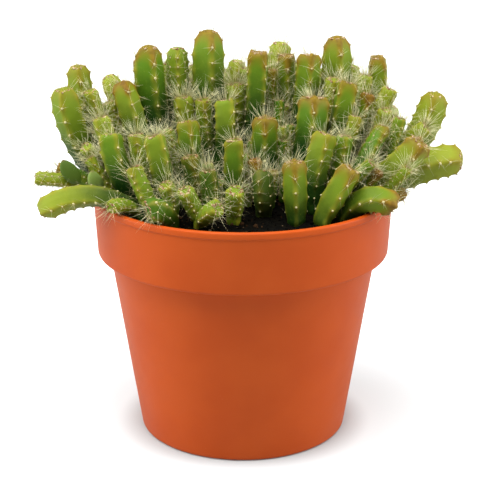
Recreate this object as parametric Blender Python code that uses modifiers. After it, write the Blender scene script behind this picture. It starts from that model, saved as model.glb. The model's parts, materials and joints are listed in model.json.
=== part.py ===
"""A dragon fruit cactus in a plastic nursery pot: a dense clump of young plants in potting soil.

Every plant is one solid of one or two ribbed shoots with bristles. It stands in its own hole in the soil,
and the soil fills the turned pot. The script's lengths are millimetres, turned to metres as meshes are made.
The origin is the middle of the pot's underside, +Z is up, and the front of the clump faces -Y.
"""

import math
from collections import namedtuple

import bmesh
import bpy
import numpy as np
from mathutils import Matrix, Vector

MM = 0.001

# The pot: a moulded pot with a stepped collar, measured on its outside unless the name says otherwise.
POT_HEIGHT = 87.2
RIM_RADIUS = 52.5
LIP_HEIGHT = 2.0
COLLAR_RADIUS_TOP = 52.0
COLLAR_RADIUS_FOOT = 51.0
COLLAR_FOOT = 65.5
BODY_RADIUS_TOP = 46.9
BASE_RADIUS = 36.7
WALL = 1.4
FLOOR_TOP = 2.8
FOOT_RING_WIDTH = 5.0
BASE_RECESS = 1.3
BOSS_RADIUS = 13.0
DRAIN_RADIUS = 3.0
DRAIN_CIRCLE = 22.0
DRAIN_COUNT = 6
DRAIN_SIDES = 8
POT_FILLET = 0.9
FOOT_FILLET = 0.7
TURNED_STEPS = 36
TERRACOTTA = (0.55, 0.115, 0.035)

# The potting soil stands off the pot, and the plants off their holes, by a gap too small to see.
GAP = 0.3
SOIL_EDGE = 83.6
SOIL_CROWN = 1.6
SOIL_CROWN_RADIUS = 50.0
SOIL_RINGS = 4
CRUMB_BROAD = 0.3
CRUMB_BROAD_PITCH = (3.9, 4.7)
CRUMB_FINE = 0.2
CRUMB_FINE_PITCH = (1.9, 2.3)
SOIL_BLACK = (0.012, 0.009, 0.007)

# Each plant's neck is buried this deep in a plain hole, tapers to this share of its foot, and starts to
# lean this far above the soil.
NECK_BURIED = 7.0
NECK_TAPER = 0.9
NECK_RISE = 1.5
HOLE_PLAY = 0.45
HOLE_SIDES = 6

# A shoot's girth: slim at the foot and cut almost flat at the tip. Its ribs are notched between areoles,
# and its faces bulge out nearly as far as its ribs. A side shoot starts inside its plant's foot, thinner
# than there.
FOOT_GIRTH = 0.64
TIP_GIRTH = 0.72
DOMED_AWAY = 0.24
NOTCH = 0.89
NOTCH_PITCH = 19.0
FIRST_NOTCH = 0.14
BRANCH_FROM = 0.05
BRANCH_ROOT = 0.7
FACE_BULGE = {3: 0.78, 4: 0.84}
SKIN_GREEN = (0.11, 0.24, 0.035)
SKIN_PALE = (0.30, 0.36, 0.10)

# The front sheet: shoots are set out where they show from this eye point, on the plane through the pot's
# axis.
EYE = np.array([0.0, -480.0, 223.5])

# Bristles: straight three-sided needles on the ribs, longer and leant up more towards the tip. Their roots
# start this share of the way from the shoot's axis to its rib. A bare shoot has the first count, a coated
# one both together, tried at so many places a rib until they stand clear.
NEEDLE_RADIUS = 0.2
NEEDLE_LENGTH = 3.45
NEEDLE_LENGTH_AT_TIP = 5.06
NEEDLE_LEAN = 15.0
NEEDLE_LEAN_AT_TIP = 65.0
NEEDLE_ROOT = 0.35
NEEDLES_BARE = 2
NEEDLES_COATED = 2.6
NEEDLE_PLACES = 9
NEEDLES_HIGHEST = 0.96
NEEDLES_SPAN = 0.62
NEEDLE_CLEAR = 0.55
NEEDLE_OUTSIDE = np.linspace(0.3, 1, 9)[:, None]
GOLDEN = 0.618034

# Settling: rounds in all and rounds at the end with no pull home, spheres a shoot, and the room kept
# between shoots and to the pot. Up to FOOT_FREE of its length a shoot is let off the pot and soil, and
# shoots of one plant are kept apart from KIN_APART of theirs.
SETTLE_ROUNDS = 280
SETTLE_FREE = 90
SETTLE_BEADS = 9
LAST_BEAD = 0.97
SETTLE_GAP = 0.75
POT_GAP = 0.45
FOOT_FREE = 0.12
KIN_APART = 0.4
FEET_WITHIN = 44.5

# How far one round moves a shoot, the share of it across the line of sight, and the pull back to where it
# was set.
SETTLE_EASE = 0.9
FOOT_EASE = 0.6
CROSS_SIGHT = 0.4
BEND_HOME = 0.01
TIP_HOME = 0.02

# Spheres this near are looked at as pairs, and the pairs are listed afresh every few rounds.
PAIRS_REACH = 4.0
PAIRS_EVERY = 10

# One shoot. across and height say where the top of its tip shows on the front sheet, depth how far the tip
# lies behind that sheet, and width is across its ribs, all in mm. turn is how far its front rib is turned
# to the right, in degrees. bow is how far it arches up off its straight line, in quarters of its length,
# and below 0 it sags. coat, tint and blush run from 0 to 1: how bristly it is, how pale its green is, and
# how brown its tip is. full is the share of its length where it reaches its full girth, dome is 0 for a
# flat tip, 1 for a round one and 2 for the pointed tip of a seed leaf, and flat is how thick a seed leaf is
# to its width.
Shoot = namedtuple(
    "Shoot", "across height depth width ribs turn bow coat tint blush full dome flat", defaults=(0.38, 0, 1))

# One plant: its foot on the soil in mm, and its shoots, the first one carrying the others. The first plant
# is the seedling, whose two shoots are its seed leaves.
Plant = namedtuple("Plant", "foot shoots")

FRONT_PLANTS = (
    Plant((-41.5, -15.5), (
        Shoot(-53.2, 93.7, -19, 4.9, 4, 0, 0.4, 0, 0.2, 0, full=0.6, dome=2, flat=0.4),
        Shoot(-62.0, 97, -16, 5.4, 4, 20, 0.3, 0, 0.05, 0, full=0.6, dome=2, flat=0.4))),
    Plant((-42, -3), (
        Shoot(-61.3, 122, -4, 9.8, 4, -8, -0.8, 0.3, 0.45, 0.5, dome=0.7),
        Shoot(-54.0, 102, -13, 5, 3, 33, 0.2, 1.0, 0.7, 0.1))),
    Plant((-41, 8), (
        Shoot(-56.0, 130, 7, 8, 4, 12, -0.6, 0.7, 0.75, 0.6, dome=0.6),
        Shoot(-51.5, 122, 0, 5.6, 3, 14, 0, 0.8, 0.8, 0.3))),
    Plant((-34, 21), (
        Shoot(-46.5, 126.2, 22, 7.6, 4, 40, -0.2, 0.8, 1.0, 0.1, dome=1),)),
    Plant((-33, 4), (
        Shoot(-41.5, 124.2, 5, 8.4, 4, 20, 0, 0.5, 0.6, 0.9, dome=0.6),
        Shoot(-47.5, 117, 4, 5.4, 3, 24, 0, 1.0, 0.8, 0.1))),
    Plant((-26, 5), (
        Shoot(-32.0, 136.6, 8, 10.4, 4, 30, -0.3, 0.25, 0.1, 0.8, dome=1),)),
    Plant((-21, 15), (
        Shoot(-21.9, 136.2, 16, 7.6, 4, 5, 0, 0.8, 0.5, 0.3, dome=0.8),
        Shoot(-18.5, 125, 16, 6, 3, 33, 0, 1.0, 0.8, 0.1))),
    Plant((-11, 14), (
        Shoot(-11.2, 141.8, 16, 10.6, 4, 15, 0, 0.25, 0.3, 0.8, dome=1),
        Shoot(-2.0, 132, 21, 7, 3, 14, 0, 0.9, 1.0, 0.1, dome=0.8))),
    Plant((3, 5), (
        Shoot(5.0, 135, 6, 8.2, 4, 40, 0, 0.35, 0.2, 0.8),)),
    Plant((10, 21), (
        Shoot(13.0, 138, 24, 8, 4, -8, 0, 0.9, 0.9, 0.2, dome=0.8),
        Shoot(9.8, 129, 14, 4.6, 3, 24, 0, 0.8, 0.5, 0.7))),
    Plant((17, 12), (
        Shoot(22.1, 134, 12, 8.2, 4, 10, 0, 0.6, 0.3, 0.8),
        Shoot(15.0, 134, 16, 6.4, 3, 5, 0, 0.7, 0.4, 0.8))),
    Plant((26, 14), (
        Shoot(31.6, 139.6, 14, 10.2, 4, 25, -0.4, 0.3, 0.5, 0.8, dome=1),
        Shoot(38.5, 130, 24, 6, 3, -20, 0, 0.6, 0.8, 0.1, dome=0.8))),
    Plant((36, 15), (
        Shoot(45.4, 132.8, 15, 7.8, 4, 40, -0.8, 0.6, 0.5, 0.8, dome=0.8),
        Shoot(51.0, 122, 14, 6, 3, 40, 0, 1.0, 0.9, 0.1))),
    Plant((42, 3), (
        Shoot(65.2, 120.6, 4, 9.8, 4, 10, -1, 0.35, 0.5, 0.6, dome=0.8),
        Shoot(64.0, 108, -2, 5.8, 3, 24, 0.2, 1.0, 0.9, 0.1))),
    Plant((40, -11), (
        Shoot(75.0, 95.6, -9, 11, 4, 0, -1.2, 0.5, 0.55, 0.5, full=0.5, dome=0.8),
        Shoot(61.8, 103.4, -16, 10, 4, 20, 0, 0.6, 0.5, 1.0))),
    Plant((35, -26), (
        Shoot(53.2, 79.6, -31, 9, 4, -20, 0.9, 0.5, 0.4, 0.9, full=0.6),
        Shoot(56.0, 84.2, -19, 5.2, 3, 10, 0.5, 0.6, 0.5, 1.0))),
    Plant((26, -32), (
        Shoot(37.6, 94.2, -31, 8.8, 4, 15, 0.1, 0.6, 0.45, 0.9),)),
    Plant((17.5, -32), (
        Shoot(17.8, 96.6, -31, 8.2, 4, 0, 0, 0.4, 0.4, 0.9),)),
    Plant((22.5, -20), (
        Shoot(28.6, 106.5, -18, 8.8, 4, 12, 0.3, 0.5, 0.55, 0.6),)),
    Plant((19, -6), (
        Shoot(24.0, 119.3, -4, 10.4, 4, 0, 0, 0.7, 0.3, 0.8),
        Shoot(13.4, 109, -2, 5.4, 3, 24, 0, 1.0, 0.5, 0.1))),
    Plant((31, 4), (
        Shoot(35.6, 124.3, 4, 8, 4, -40, 0, 0.7, 0.3, 0.9),
        Shoot(32.0, 126, 12, 6, 3, 5, 0, 1.0, 0.9, 0.1))),
    Plant((7, -10), (
        Shoot(7.6, 112.2, -9, 8.6, 4, 0, 0, 0.8, 0.4, 0.8),)),
    Plant((-3, -21), (
        Shoot(-2.3, 104.4, -20, 7.6, 3, 42, -0.2, 0.9, 0.4, 0.5),)),
    Plant((-8, -1), (
        Shoot(-6.5, 118.2, 1, 7.8, 3, 38, 0, 0.9, 0.5, 0.2),
        Shoot(-13.2, 118.8, 3, 6, 3, 10, 0, 0.8, 0.5, 0.5))),
    Plant((-18, -9), (
        Shoot(-19.5, 110.8, -8, 7.8, 4, 15, 0, 0.5, 0.3, 1.0),
        Shoot(-26.0, 108, -4, 5.6, 3, 24, 0, 0.9, 0.5, 0.1))),
    Plant((-25, -24), (
        Shoot(-30.9, 105.8, -22, 8.8, 4, 42, 0.1, 0.7, 0.5, 0.3),)),
    Plant((-33, -14), (
        Shoot(-37.0, 106.4, -12, 6.2, 3, 5, 0, 0.9, 0.6, 0.4),)),
    Plant((-39, -19), (
        Shoot(-46.4, 106, -20, 8.6, 4, 32, -0.8, 0.3, 0.35, 0.3),)),
    Plant((-32, -28), (
        Shoot(-38.4, 94.4, -27, 6.4, 3, -20, 0, 1.0, 0.5, 0.4),)),
    Plant((-15, -18), (
        Shoot(-18.2, 98.6, -17, 7.4, 3, 14, 0, 0.9, 0.2, 0.4),)),
    Plant((-10, -27), (
        Shoot(-12.2, 93.4, -26, 6.8, 3, 40, 0, 1.0, 0.3, 0.1),)),
    Plant((-24, -34), (
        Shoot(-33.2, 77.4, -42, 8.8, 4, -8, 0.8, 0.8, 0.4, 0.0),
        Shoot(-27.2, 88, -34, 6.2, 3, 24, 0.4, 1.0, 0.6, 0.1))),
    Plant((-14, -36), (
        Shoot(-9.2, 80, -43, 6.8, 3, -32, 0.9, 0.8, 0.9, 0.0),
        Shoot(-20.0, 86, -38, 6.4, 3, 5, 0.4, 0.9, 0.5, 0.1))),
    Plant((-3, -32), (
        Shoot(-2.6, 86.2, -36, 7, 3, 33, 0.4, 0.9, 0.6, 0.1),)),
    Plant((7, -27), (
        Shoot(6.4, 92.5, -25, 7.6, 3, -20, 0, 1.0, 0.1, 0.1),
        Shoot(3.4, 97.4, -21, 5.2, 3, 20, 0, 1.0, 0.2, 0.9))),
    Plant((-38, -28), (
        Shoot(-70.6, 77.6, -25, 8.8, 4, 30, 0.3, 0.3, 0.6, 0.3, full=0.8, dome=0.6),
        Shoot(-46.6, 79.4, -36, 5.2, 3, 40, 0.5, 1.0, 0.5, 0.3))),
    Plant((-44, -11), (
        Shoot(-71.8, 90.6, -14, 5, 3, -8, 0.2, 0.5, 0.8, 0.1),
        Shoot(-64.5, 94, -9, 5.2, 3, 24, 0.1, 0.5, 0.1, 0.8))),
    Plant((-37, -8), (
        Shoot(-49.6, 112, -8, 6.6, 3, -32, -0.4, 1.0, 0.8, 0.1),)),
    Plant((31, -14), (
        Shoot(35.4, 105.6, -13, 6.4, 3, 5, 0, 1.0, 0.1, 0.2),)),
    Plant((35, -5), (
        Shoot(38.7, 112.8, -4, 5, 3, 33, 0, 0.9, 0.8, 0.5),
        Shoot(43.4, 103, -8, 5.4, 3, -20, 0, 0.9, 0.3, 0.1))),
    Plant((41, 11), (
        Shoot(44.2, 120, 5, 5.2, 3, 14, 0, 0.9, 0.4, 1.0),
        Shoot(48.4, 115.4, 4, 5.6, 3, 40, 0.2, 0.9, 0.9, 0.0))),
    Plant((39, -19), (
        Shoot(47.4, 93.5, -18, 5, 3, -8, 0, 1.0, 0.2, 1.0),
        Shoot(49.0, 107.5, -6, 6, 3, 24, 0, 1.0, 0.4, 0.2))),
    Plant((-18, 4), (
        Shoot(-20.4, 119.6, 5, 7.2, 3, -32, 0, 1.0, 0.8, 0.2),)),
    Plant((-4, 12), (
        Shoot(-4.2, 124, 11, 7.2, 3, 5, 0, 1.0, 0.7, 0.3),)),
    Plant((36, 22), (
        Shoot(42.0, 121, 24, 6.4, 3, 33, 0, 1.0, 0.8, 0.1),)),
)

# The back of the clump is planted by rule: a ring near the wall that leans out, and a ring inside it that
# stands.
BACK_SEED = 11
BACK_RINGS = (
    # count, first angle, last angle, foot radius, tip radius, lowest and highest tip
    (9, 22.0, 158.0, 42.0, 57.0, 96.0, 112.0),
    (4, 52.0, 128.0, 32.5, 36.0, 112.0, 122.0),
)
BACK_REACH = (0.86, 1.08)
BACK_WIDTHS = (6.0, 9.6)
BACK_FOUR_RIBBED = 0.6

# A back plant's two shoots part by BACK_FORK degrees, and the second one is nearer, lower and thinner.
BACK_FORK = 24.0
SECOND_REACH = 0.86
SECOND_LOWER = 3.0
SECOND_WIDTH = 0.8


def from_sheet(across, height, depth):
    """The point that shows at (across, height) on the front sheet, depth mm behind it."""
    return EYE + (np.array([across, 0.0, height]) - EYE) * (1 + depth / -EYE[1])


def back_plants():
    """Plants on two arcs behind the clump, with seeded variation in place, height and width."""
    draw = np.random.default_rng(BACK_SEED)
    plants = []
    for count, first, last, foot_radius, tip_radius, low, high in BACK_RINGS:
        for k in range(count):
            turn = math.radians(first + (last - first) * k / (count - 1) + draw.uniform(-3, 3))
            foot = foot_radius * np.array([math.cos(turn), math.sin(turn)]) + draw.uniform(-1, 1, 2)
            shoots = []
            for second in (0, 1):
                way = turn + math.radians((second - 0.5) * BACK_FORK + draw.uniform(-4, 4))
                reach = tip_radius * draw.uniform(*BACK_REACH) * SECOND_REACH**second
                top = draw.uniform(low, high) - SECOND_LOWER * second
                depth = reach * math.sin(way)
                near = 1 + depth / -EYE[1]
                shoots.append(Shoot(
                    across=reach * math.cos(way) / near,
                    height=EYE[2] + (top - EYE[2]) / near,
                    depth=depth,
                    width=draw.uniform(*BACK_WIDTHS) * SECOND_WIDTH**second,
                    ribs=4 if draw.random() < BACK_FOUR_RIBBED else 3,
                    turn=draw.uniform(0, 90),
                    bow=draw.uniform(-0.4, 0.1),
                    coat=draw.uniform(0.3, 1.0),
                    tint=draw.uniform(0.1, 0.8),
                    blush=draw.uniform(0.0, 0.9)))
            plants.append(Plant(tuple(foot), tuple(shoots)))
    return tuple(plants)


def soil_height(x, y):
    """The soil's level: a low crown that falls to the pot's wall."""
    return SOIL_EDGE + SOIL_CROWN * (1 - (x * x + y * y) / SOIL_CROWN_RADIUS**2)


def standing(x, y):
    """Where a plant starts to lean, just above the soil, and never too near the pot's wall."""
    inward = min(1.0, FEET_WITHIN / max(math.hypot(x, y), 1e-6))
    return np.array([x * inward, y * inward, soil_height(x * inward, y * inward) + NECK_RISE])


# Settling. Every shoot is a curve through foot, bend and tip, as fat as its width. Shoots that would touch
# lean apart, mostly along the line of sight, so the front view keeps its outline.
Curve = namedtuple("Curve", "plant foot bend tip girth slim length shoot")


def swell(t, slim, full, dome):
    """A shoot's girth at t from foot to tip, as a share of its full one: slim is that girth to its length."""
    rise = np.clip(t / full, 0, 1)
    body = FOOT_GIRTH + (1 - FOOT_GIRTH) * rise * rise * (3 - 2 * rise)
    blunt = slim * (1 + dome)
    end = np.clip((t - (1 - blunt)) / blunt, 0, 1)
    tip_girth = TIP_GIRTH - DOMED_AWAY * dome
    return body * np.sqrt(1 - (1 - tip_girth**2) * end ** (4 - 1.4 * dome))


def weights(t):
    """How much foot, bend and tip each count at t."""
    return np.stack([(1 - t) ** 2, 2 * t * (1 - t), t * t], axis=-1)


def push_off_pot(points, radii):
    """The moves that take beads off the pot's wall and rim, and up off the soil inside it."""
    reach = np.hypot(points[:, 0], points[:, 1])
    inner = COLLAR_RADIUS_TOP - WALL
    nearest = np.stack([np.clip(reach, inner, RIM_RADIUS), np.minimum(points[:, 2], POT_HEIGHT)], 1)
    away = np.stack([reach, points[:, 2]], 1) - nearest
    away[np.abs(away).sum(1) < 1e-6] = (0.0, 0.01)
    far = np.hypot(away[:, 0], away[:, 1])
    move = away / far[:, None] * np.clip(radii + POT_GAP - far, 0, None)[:, None]
    sunk = soil_height(points[:, 0], points[:, 1]) + radii + GAP - points[:, 2]
    outward = points[:, :2] / np.maximum(reach, 1e-6)[:, None]
    rise = move[:, 1] + np.where(reach < inner, np.clip(sunk, 0, None), 0)
    return np.column_stack([outward * move[:, :1], rise])


def settle(plants):
    """Every shoot's curve once the shoots have leaned clear of each other and of the pot."""
    shoots = [(index, rank, s) for index, plant in enumerate(plants) for rank, s in enumerate(plant.shoots)]
    owner = np.array([index for index, rank, s in shoots])
    lead = np.array([k - rank for k, (index, rank, s) in enumerate(shoots)])
    girth = np.array([s.width / 2 * (1 - s.depth / EYE[1]) for index, rank, s in shoots])
    full = np.array([s.full for index, rank, s in shoots])[:, None]
    dome = np.array([s.dome for index, rank, s in shoots])[:, None]
    bow = np.array([s.bow for index, rank, s in shoots])[:, None]
    foot = np.array([standing(*plants[index].foot) for index in owner])
    tip = np.array([from_sheet(s.across, s.height, s.depth) for index, rank, s in shoots])
    chord = tip - foot
    arch = np.array([0.0, 0.0, 1.0]) - chord * (chord[:, 2] / (chord**2).sum(1))[:, None]
    arch *= (np.linalg.norm(chord, axis=1) / (np.linalg.norm(arch, axis=1) + 1e-9))[:, None]
    bend = (foot + tip) / 2 + arch * bow / 4
    home_bend, home_tip = bend.copy(), tip.copy()
    count, beads = len(shoots), len(shoots) * SETTLE_BEADS
    bead_shoot = np.repeat(np.arange(count), SETTLE_BEADS)
    first_a, first_b = np.triu_indices(beads, 1)
    for turn in range(SETTLE_ROUNDS):
        t = np.clip((np.arange(SETTLE_BEADS) + 0.25 + 0.5 * (turn % 2)) / SETTLE_BEADS, 0, LAST_BEAD)
        share = weights(t)
        points = np.einsum("kc,nci->nki", share, np.stack([foot, bend, tip], 1)).reshape(-1, 3)
        length = np.linalg.norm(bend - foot, axis=1) + np.linalg.norm(tip - bend, axis=1)
        radii = (girth[:, None] * swell(t[None, :], (girth / length)[:, None], full, dome)).reshape(-1)
        high = np.tile(t, count) > KIN_APART
        if turn % PAIRS_EVERY == 0:
            near = np.linalg.norm(points[first_a] - points[first_b], axis=1)
            near = near < radii[first_a] + radii[first_b] + PAIRS_REACH
            near &= bead_shoot[first_a] != bead_shoot[first_b]
            pair_a, pair_b = first_a[near], first_b[near]
            kin = owner[bead_shoot[pair_a]] == owner[bead_shoot[pair_b]]
        gap = points[pair_a] - points[pair_b]
        far = np.linalg.norm(gap, axis=1) + 1e-9
        over = np.clip(radii[pair_a] + radii[pair_b] + SETTLE_GAP - far, 0, None) / 2
        over[kin & ~(high[pair_a] & high[pair_b])] = 0
        part = gap / far[:, None] * over[:, None]
        push = np.zeros_like(points)
        np.add.at(push, pair_a, part)
        np.add.at(push, pair_b, -part)
        sight = points - EYE
        sight /= np.linalg.norm(sight, axis=1)[:, None]
        along = (push * sight).sum(1)[:, None] * sight
        push = along + (push - along) * CROSS_SIGHT
        push += push_off_pot(points, radii) * (np.tile(t, count) > FOOT_FREE)[:, None]
        pull = np.einsum("kc,nki->cni", share, push.reshape(count, SETTLE_BEADS, 3)) * SETTLE_EASE
        pull /= share.sum(0)[:, None, None]
        bend = bend + pull[1]
        tip = tip + pull[2]
        shift = np.zeros_like(foot)
        np.add.at(shift, lead, pull[0])
        foot = np.array([standing(*spot[:2]) for spot in (foot + FOOT_EASE * shift)[lead]])
        if turn < SETTLE_ROUNDS - SETTLE_FREE:
            bend += (home_bend - bend) * BEND_HOME
            tip += (home_tip - tip) * TIP_HOME
    length = np.linalg.norm(bend - foot, axis=1) + np.linalg.norm(tip - bend, axis=1)
    return [Curve(owner[k], foot[k], bend[k], tip[k], girth[k], girth[k] / length[k], length[k], shoots[k][2])
            for k in range(count)]


def girth_at(curve, t):
    """A shoot's radius in mm at t."""
    return curve.girth * swell(t, curve.slim, curve.shoot.full, curve.shoot.dome)


def point_on(curve, t):
    """Points along a shoot's axis."""
    return weights(np.asarray(t, dtype=float)) @ np.array([curve.foot, curve.bend, curve.tip])


def heading(curve, t):
    """The way a shoot's axis runs at t."""
    way = 2 * (1 - t) * (curve.bend - curve.foot) + 2 * t * (curve.tip - curve.bend)
    return Vector(way).normalized()


def rib_way(curve, t, rib):
    """The way out from the axis to one rib: its compass way at the foot, leant with the axis."""
    compass = math.radians(curve.shoot.turn - 90 + 360 * rib / curve.shoot.ribs)
    upright = Vector((math.cos(compass), math.sin(compass), 0))
    return Vector((0, 0, 1)).rotation_difference(heading(curve, t)) @ upright


# Blender helpers.


def clear_scene():
    for thing in list(bpy.data.objects):
        bpy.data.objects.remove(thing, do_unlink=True)


def collection(name):
    group = bpy.data.collections.new(name)
    bpy.context.scene.collection.children.link(group)
    return group


def add_object(name, data, group):
    thing = bpy.data.objects.new(name, data)
    group.objects.link(thing)
    return thing


def plain_material(name, colour, roughness):
    material = bpy.data.materials.new(name)
    material.use_nodes = True
    shader = material.node_tree.nodes["Principled BSDF"]
    shader.inputs["Base Color"].default_value = (*colour, 1.0)
    shader.inputs["Roughness"].default_value = roughness
    shader.inputs["Metallic"].default_value = 0.0
    material.diffuse_color = (*colour, 1.0)
    return material


def evaluated_mesh(thing):
    """The object's mesh with its modifiers or bevel worked out."""
    bpy.context.view_layer.update()
    graph = bpy.context.evaluated_depsgraph_get()
    return bpy.data.meshes.new_from_object(thing.evaluated_get(graph))


def with_bmesh(mesh, work):
    """Runs work on a bmesh of the mesh and writes it back."""
    bm = bmesh.new()
    bm.from_mesh(mesh)
    work(bm)
    bm.to_mesh(mesh)
    bm.free()
    mesh.update()


def finish(thing, material):
    thing.data.materials.clear()
    thing.data.materials.append(material)
    thing.data.shade_smooth()
    thing.data.set_sharp_from_angle(angle=math.radians(35))


def turned(name, profile, group):
    """A solid of revolution about Z from (radius, height) points in mm, made a plain mesh."""
    mesh = bpy.data.meshes.new(name)
    points = [(radius * MM, 0, height * MM) for radius, height in profile]
    mesh.from_pydata(points, [(k, k + 1) for k in range(len(points) - 1)], [])
    thing = add_object(name, mesh, group)
    screw = thing.modifiers.new("Screw", "SCREW")
    screw.axis = "Z"
    screw.angle = math.tau
    screw.steps = TURNED_STEPS
    screw.render_steps = TURNED_STEPS
    screw.use_merge_vertices = True
    screw.merge_threshold = 0.00005
    thing.data = evaluated_mesh(thing)
    thing.modifiers.clear()
    with_bmesh(thing.data, lambda bm: bmesh.ops.recalc_face_normals(bm, faces=bm.faces))
    return thing


def combine(body, others, operation):
    """One Boolean between a body and all objects of a collection, applied. The collection is then removed."""
    boolean = body.modifiers.new(operation.title(), "BOOLEAN")
    boolean.operation = operation
    boolean.solver = "EXACT"
    boolean.operand_type = "COLLECTION"
    boolean.collection = others
    body.data = evaluated_mesh(body)
    body.modifiers.clear()
    for thing in list(others.objects):
        bpy.data.objects.remove(thing, do_unlink=True)
    bpy.data.collections.remove(others)


# The pot.


def pot_inside(gap):
    """The pot's inside from the middle of its floor to its rim, stood off by gap."""
    floor = FLOOR_TOP + gap
    ledge = COLLAR_FOOT + WALL + gap
    lower = BASE_RADIUS - WALL - gap
    upper = BODY_RADIUS_TOP - WALL - gap
    return [
        (0, floor),
        (lower - POT_FILLET, floor),
        (lower, floor + POT_FILLET),
        (upper, COLLAR_FOOT + gap),
        (upper + POT_FILLET, ledge),
        (COLLAR_RADIUS_FOOT - WALL - gap - POT_FILLET, ledge),
        (COLLAR_RADIUS_FOOT - WALL - gap, ledge + POT_FILLET),
        (COLLAR_RADIUS_TOP - WALL - gap, POT_HEIGHT - POT_FILLET),
    ]


def make_pot(group):
    bead = POT_HEIGHT - LIP_HEIGHT
    foot_inner = BASE_RADIUS - FOOT_RING_WIDTH
    profile = pot_inside(0.0) + [
        (RIM_RADIUS - POT_FILLET, POT_HEIGHT),
        (RIM_RADIUS - 0.3 * POT_FILLET, POT_HEIGHT - 0.3 * POT_FILLET),
        (RIM_RADIUS, POT_HEIGHT - POT_FILLET),
        (RIM_RADIUS, bead),
        (COLLAR_RADIUS_TOP, bead - (RIM_RADIUS - COLLAR_RADIUS_TOP)),
        (COLLAR_RADIUS_FOOT, COLLAR_FOOT + POT_FILLET),
        (COLLAR_RADIUS_FOOT - POT_FILLET, COLLAR_FOOT),
        (BODY_RADIUS_TOP, COLLAR_FOOT - FOOT_FILLET),
        (BASE_RADIUS + 0.5 * FOOT_FILLET, 2 * FOOT_FILLET),
        (BASE_RADIUS - FOOT_FILLET, 0),
        (foot_inner, 0),
        (foot_inner - FOOT_FILLET, BASE_RECESS),
        (BOSS_RADIUS + FOOT_FILLET, BASE_RECESS),
        (BOSS_RADIUS, 0),
        (0, 0),
    ]
    pot = turned("pot", profile, group)
    drains = collection("drain_cutters")
    for k in range(DRAIN_COUNT):
        turn = math.tau * (k + 0.5) / DRAIN_COUNT
        mesh = bpy.data.meshes.new("drain")
        with_bmesh(mesh, lambda bm: bmesh.ops.create_cone(
            bm, cap_ends=True, segments=DRAIN_SIDES, radius1=DRAIN_RADIUS * MM, radius2=DRAIN_RADIUS * MM,
            depth=2 * FLOOR_TOP * MM))
        drain = add_object(f"drain_cutter_{k}", mesh, drains)
        spot = (DRAIN_CIRCLE * math.cos(turn), DRAIN_CIRCLE * math.sin(turn), FLOOR_TOP / 2)
        drain.location = Vector(spot) * MM
    combine(pot, drains, "DIFFERENCE")
    finish(pot, plain_material("terracotta_plastic", TERRACOTTA, 0.42))


# The soil.


def crumble(x, y):
    """Lumps in the soil's surface: broad ones where two waves cross, and finer ridges between them."""
    broad = math.sin(x / CRUMB_BROAD_PITCH[0] + 1.0) * math.sin(y / CRUMB_BROAD_PITCH[1] + 0.4)
    fine = math.sin(x / CRUMB_FINE_PITCH[0] - y / CRUMB_FINE_PITCH[1])
    return CRUMB_BROAD * broad + CRUMB_FINE * fine


def make_soil(plants, curves, group):
    edge = SOIL_EDGE
    walls = [spot for spot in pot_inside(GAP) if spot[1] < edge][::-1]
    (low_radius, low), (high_radius, high) = walls[0], pot_inside(GAP)[-1]
    edge_radius = low_radius + (high_radius - low_radius) * (edge - low) / (high - low)
    rings = np.linspace(0, edge_radius, SOIL_RINGS + 1)
    top = [(radius, soil_height(radius, 0)) for radius in rings[:-1]] + [(edge_radius, edge)]
    soil = turned("soil", top + walls, group)
    for vertex in soil.data.vertices:
        x, y, z = vertex.co / MM
        if z > edge:
            vertex.co.z += crumble(x, y) * MM
    holes = collection("hole_cutters")
    for curve in curves:
        if curve.shoot is not plants[curve.plant].shoots[0]:
            continue
        radius = (curve.girth * FOOT_GIRTH + HOLE_PLAY) / math.cos(math.pi / HOLE_SIDES) * MM
        mesh = bpy.data.meshes.new("hole")
        with_bmesh(mesh, lambda bm: bmesh.ops.create_cone(
            bm, cap_ends=True, segments=HOLE_SIDES, radius1=radius, radius2=radius,
            depth=2 * NECK_BURIED * MM))
        hole = add_object(f"hole_cutter_{curve.plant}", mesh, holes)
        hole.location = Vector(curve.foot) * MM
        hole.location.z -= GAP * MM
    combine(soil, holes, "DIFFERENCE")
    finish(soil, plain_material("potting_soil", SOIL_BLACK, 0.95))


# The plants.


def rib_section(curve, group):
    """A shoot's section, a millimetre out to its ribs, with a point at each rib and each face's middle."""
    shoot = curve.shoot
    data = bpy.data.curves.new("section", "CURVE")
    data.dimensions = "2D"
    spline = data.splines.new("POLY")
    count = 2 * shoot.ribs
    spline.points.add(count - 1)
    for k, point in enumerate(spline.points):
        reach = MM if k % 2 == 0 else MM * FACE_BULGE[shoot.ribs]
        way = math.tau * k / count
        across, front = math.sin(way) * reach, math.cos(way) * reach * shoot.flat
        turn = math.radians(shoot.turn)
        point.co = (
            across * math.cos(turn) + front * math.sin(turn),
            front * math.cos(turn) - across * math.sin(turn), 0, 1)
    spline.use_cyclic_u = True
    return add_object("section", data, group)


def shoot_stations(curve, leads):
    """The rings of a shoot, as points and radii in mm: notched in turn, and cut almost flat at the tip."""
    notches = max(2, round(curve.length / NOTCH_PITCH))
    shoulder = 1 - 0.5 * curve.slim * (1 + curve.shoot.dome)
    t = np.linspace(FIRST_NOTCH, shoulder, 2 * notches)
    share = np.where(np.arange(2 * notches) % 2 == 0, NOTCH, 1.0)
    t = np.concatenate([[0.0 if leads else BRANCH_FROM], t, [1.0]])
    share = np.concatenate([[1.0], share, [1.0]])
    points = list(point_on(curve, t))
    radii = list(girth_at(curve, t) * share)
    if leads:
        points.insert(0, curve.foot - np.array([0, 0, NECK_BURIED]))
        radii.insert(0, radii[0] * NECK_TAPER)
    else:
        radii[0] *= BRANCH_ROOT
    return points, radii


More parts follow.
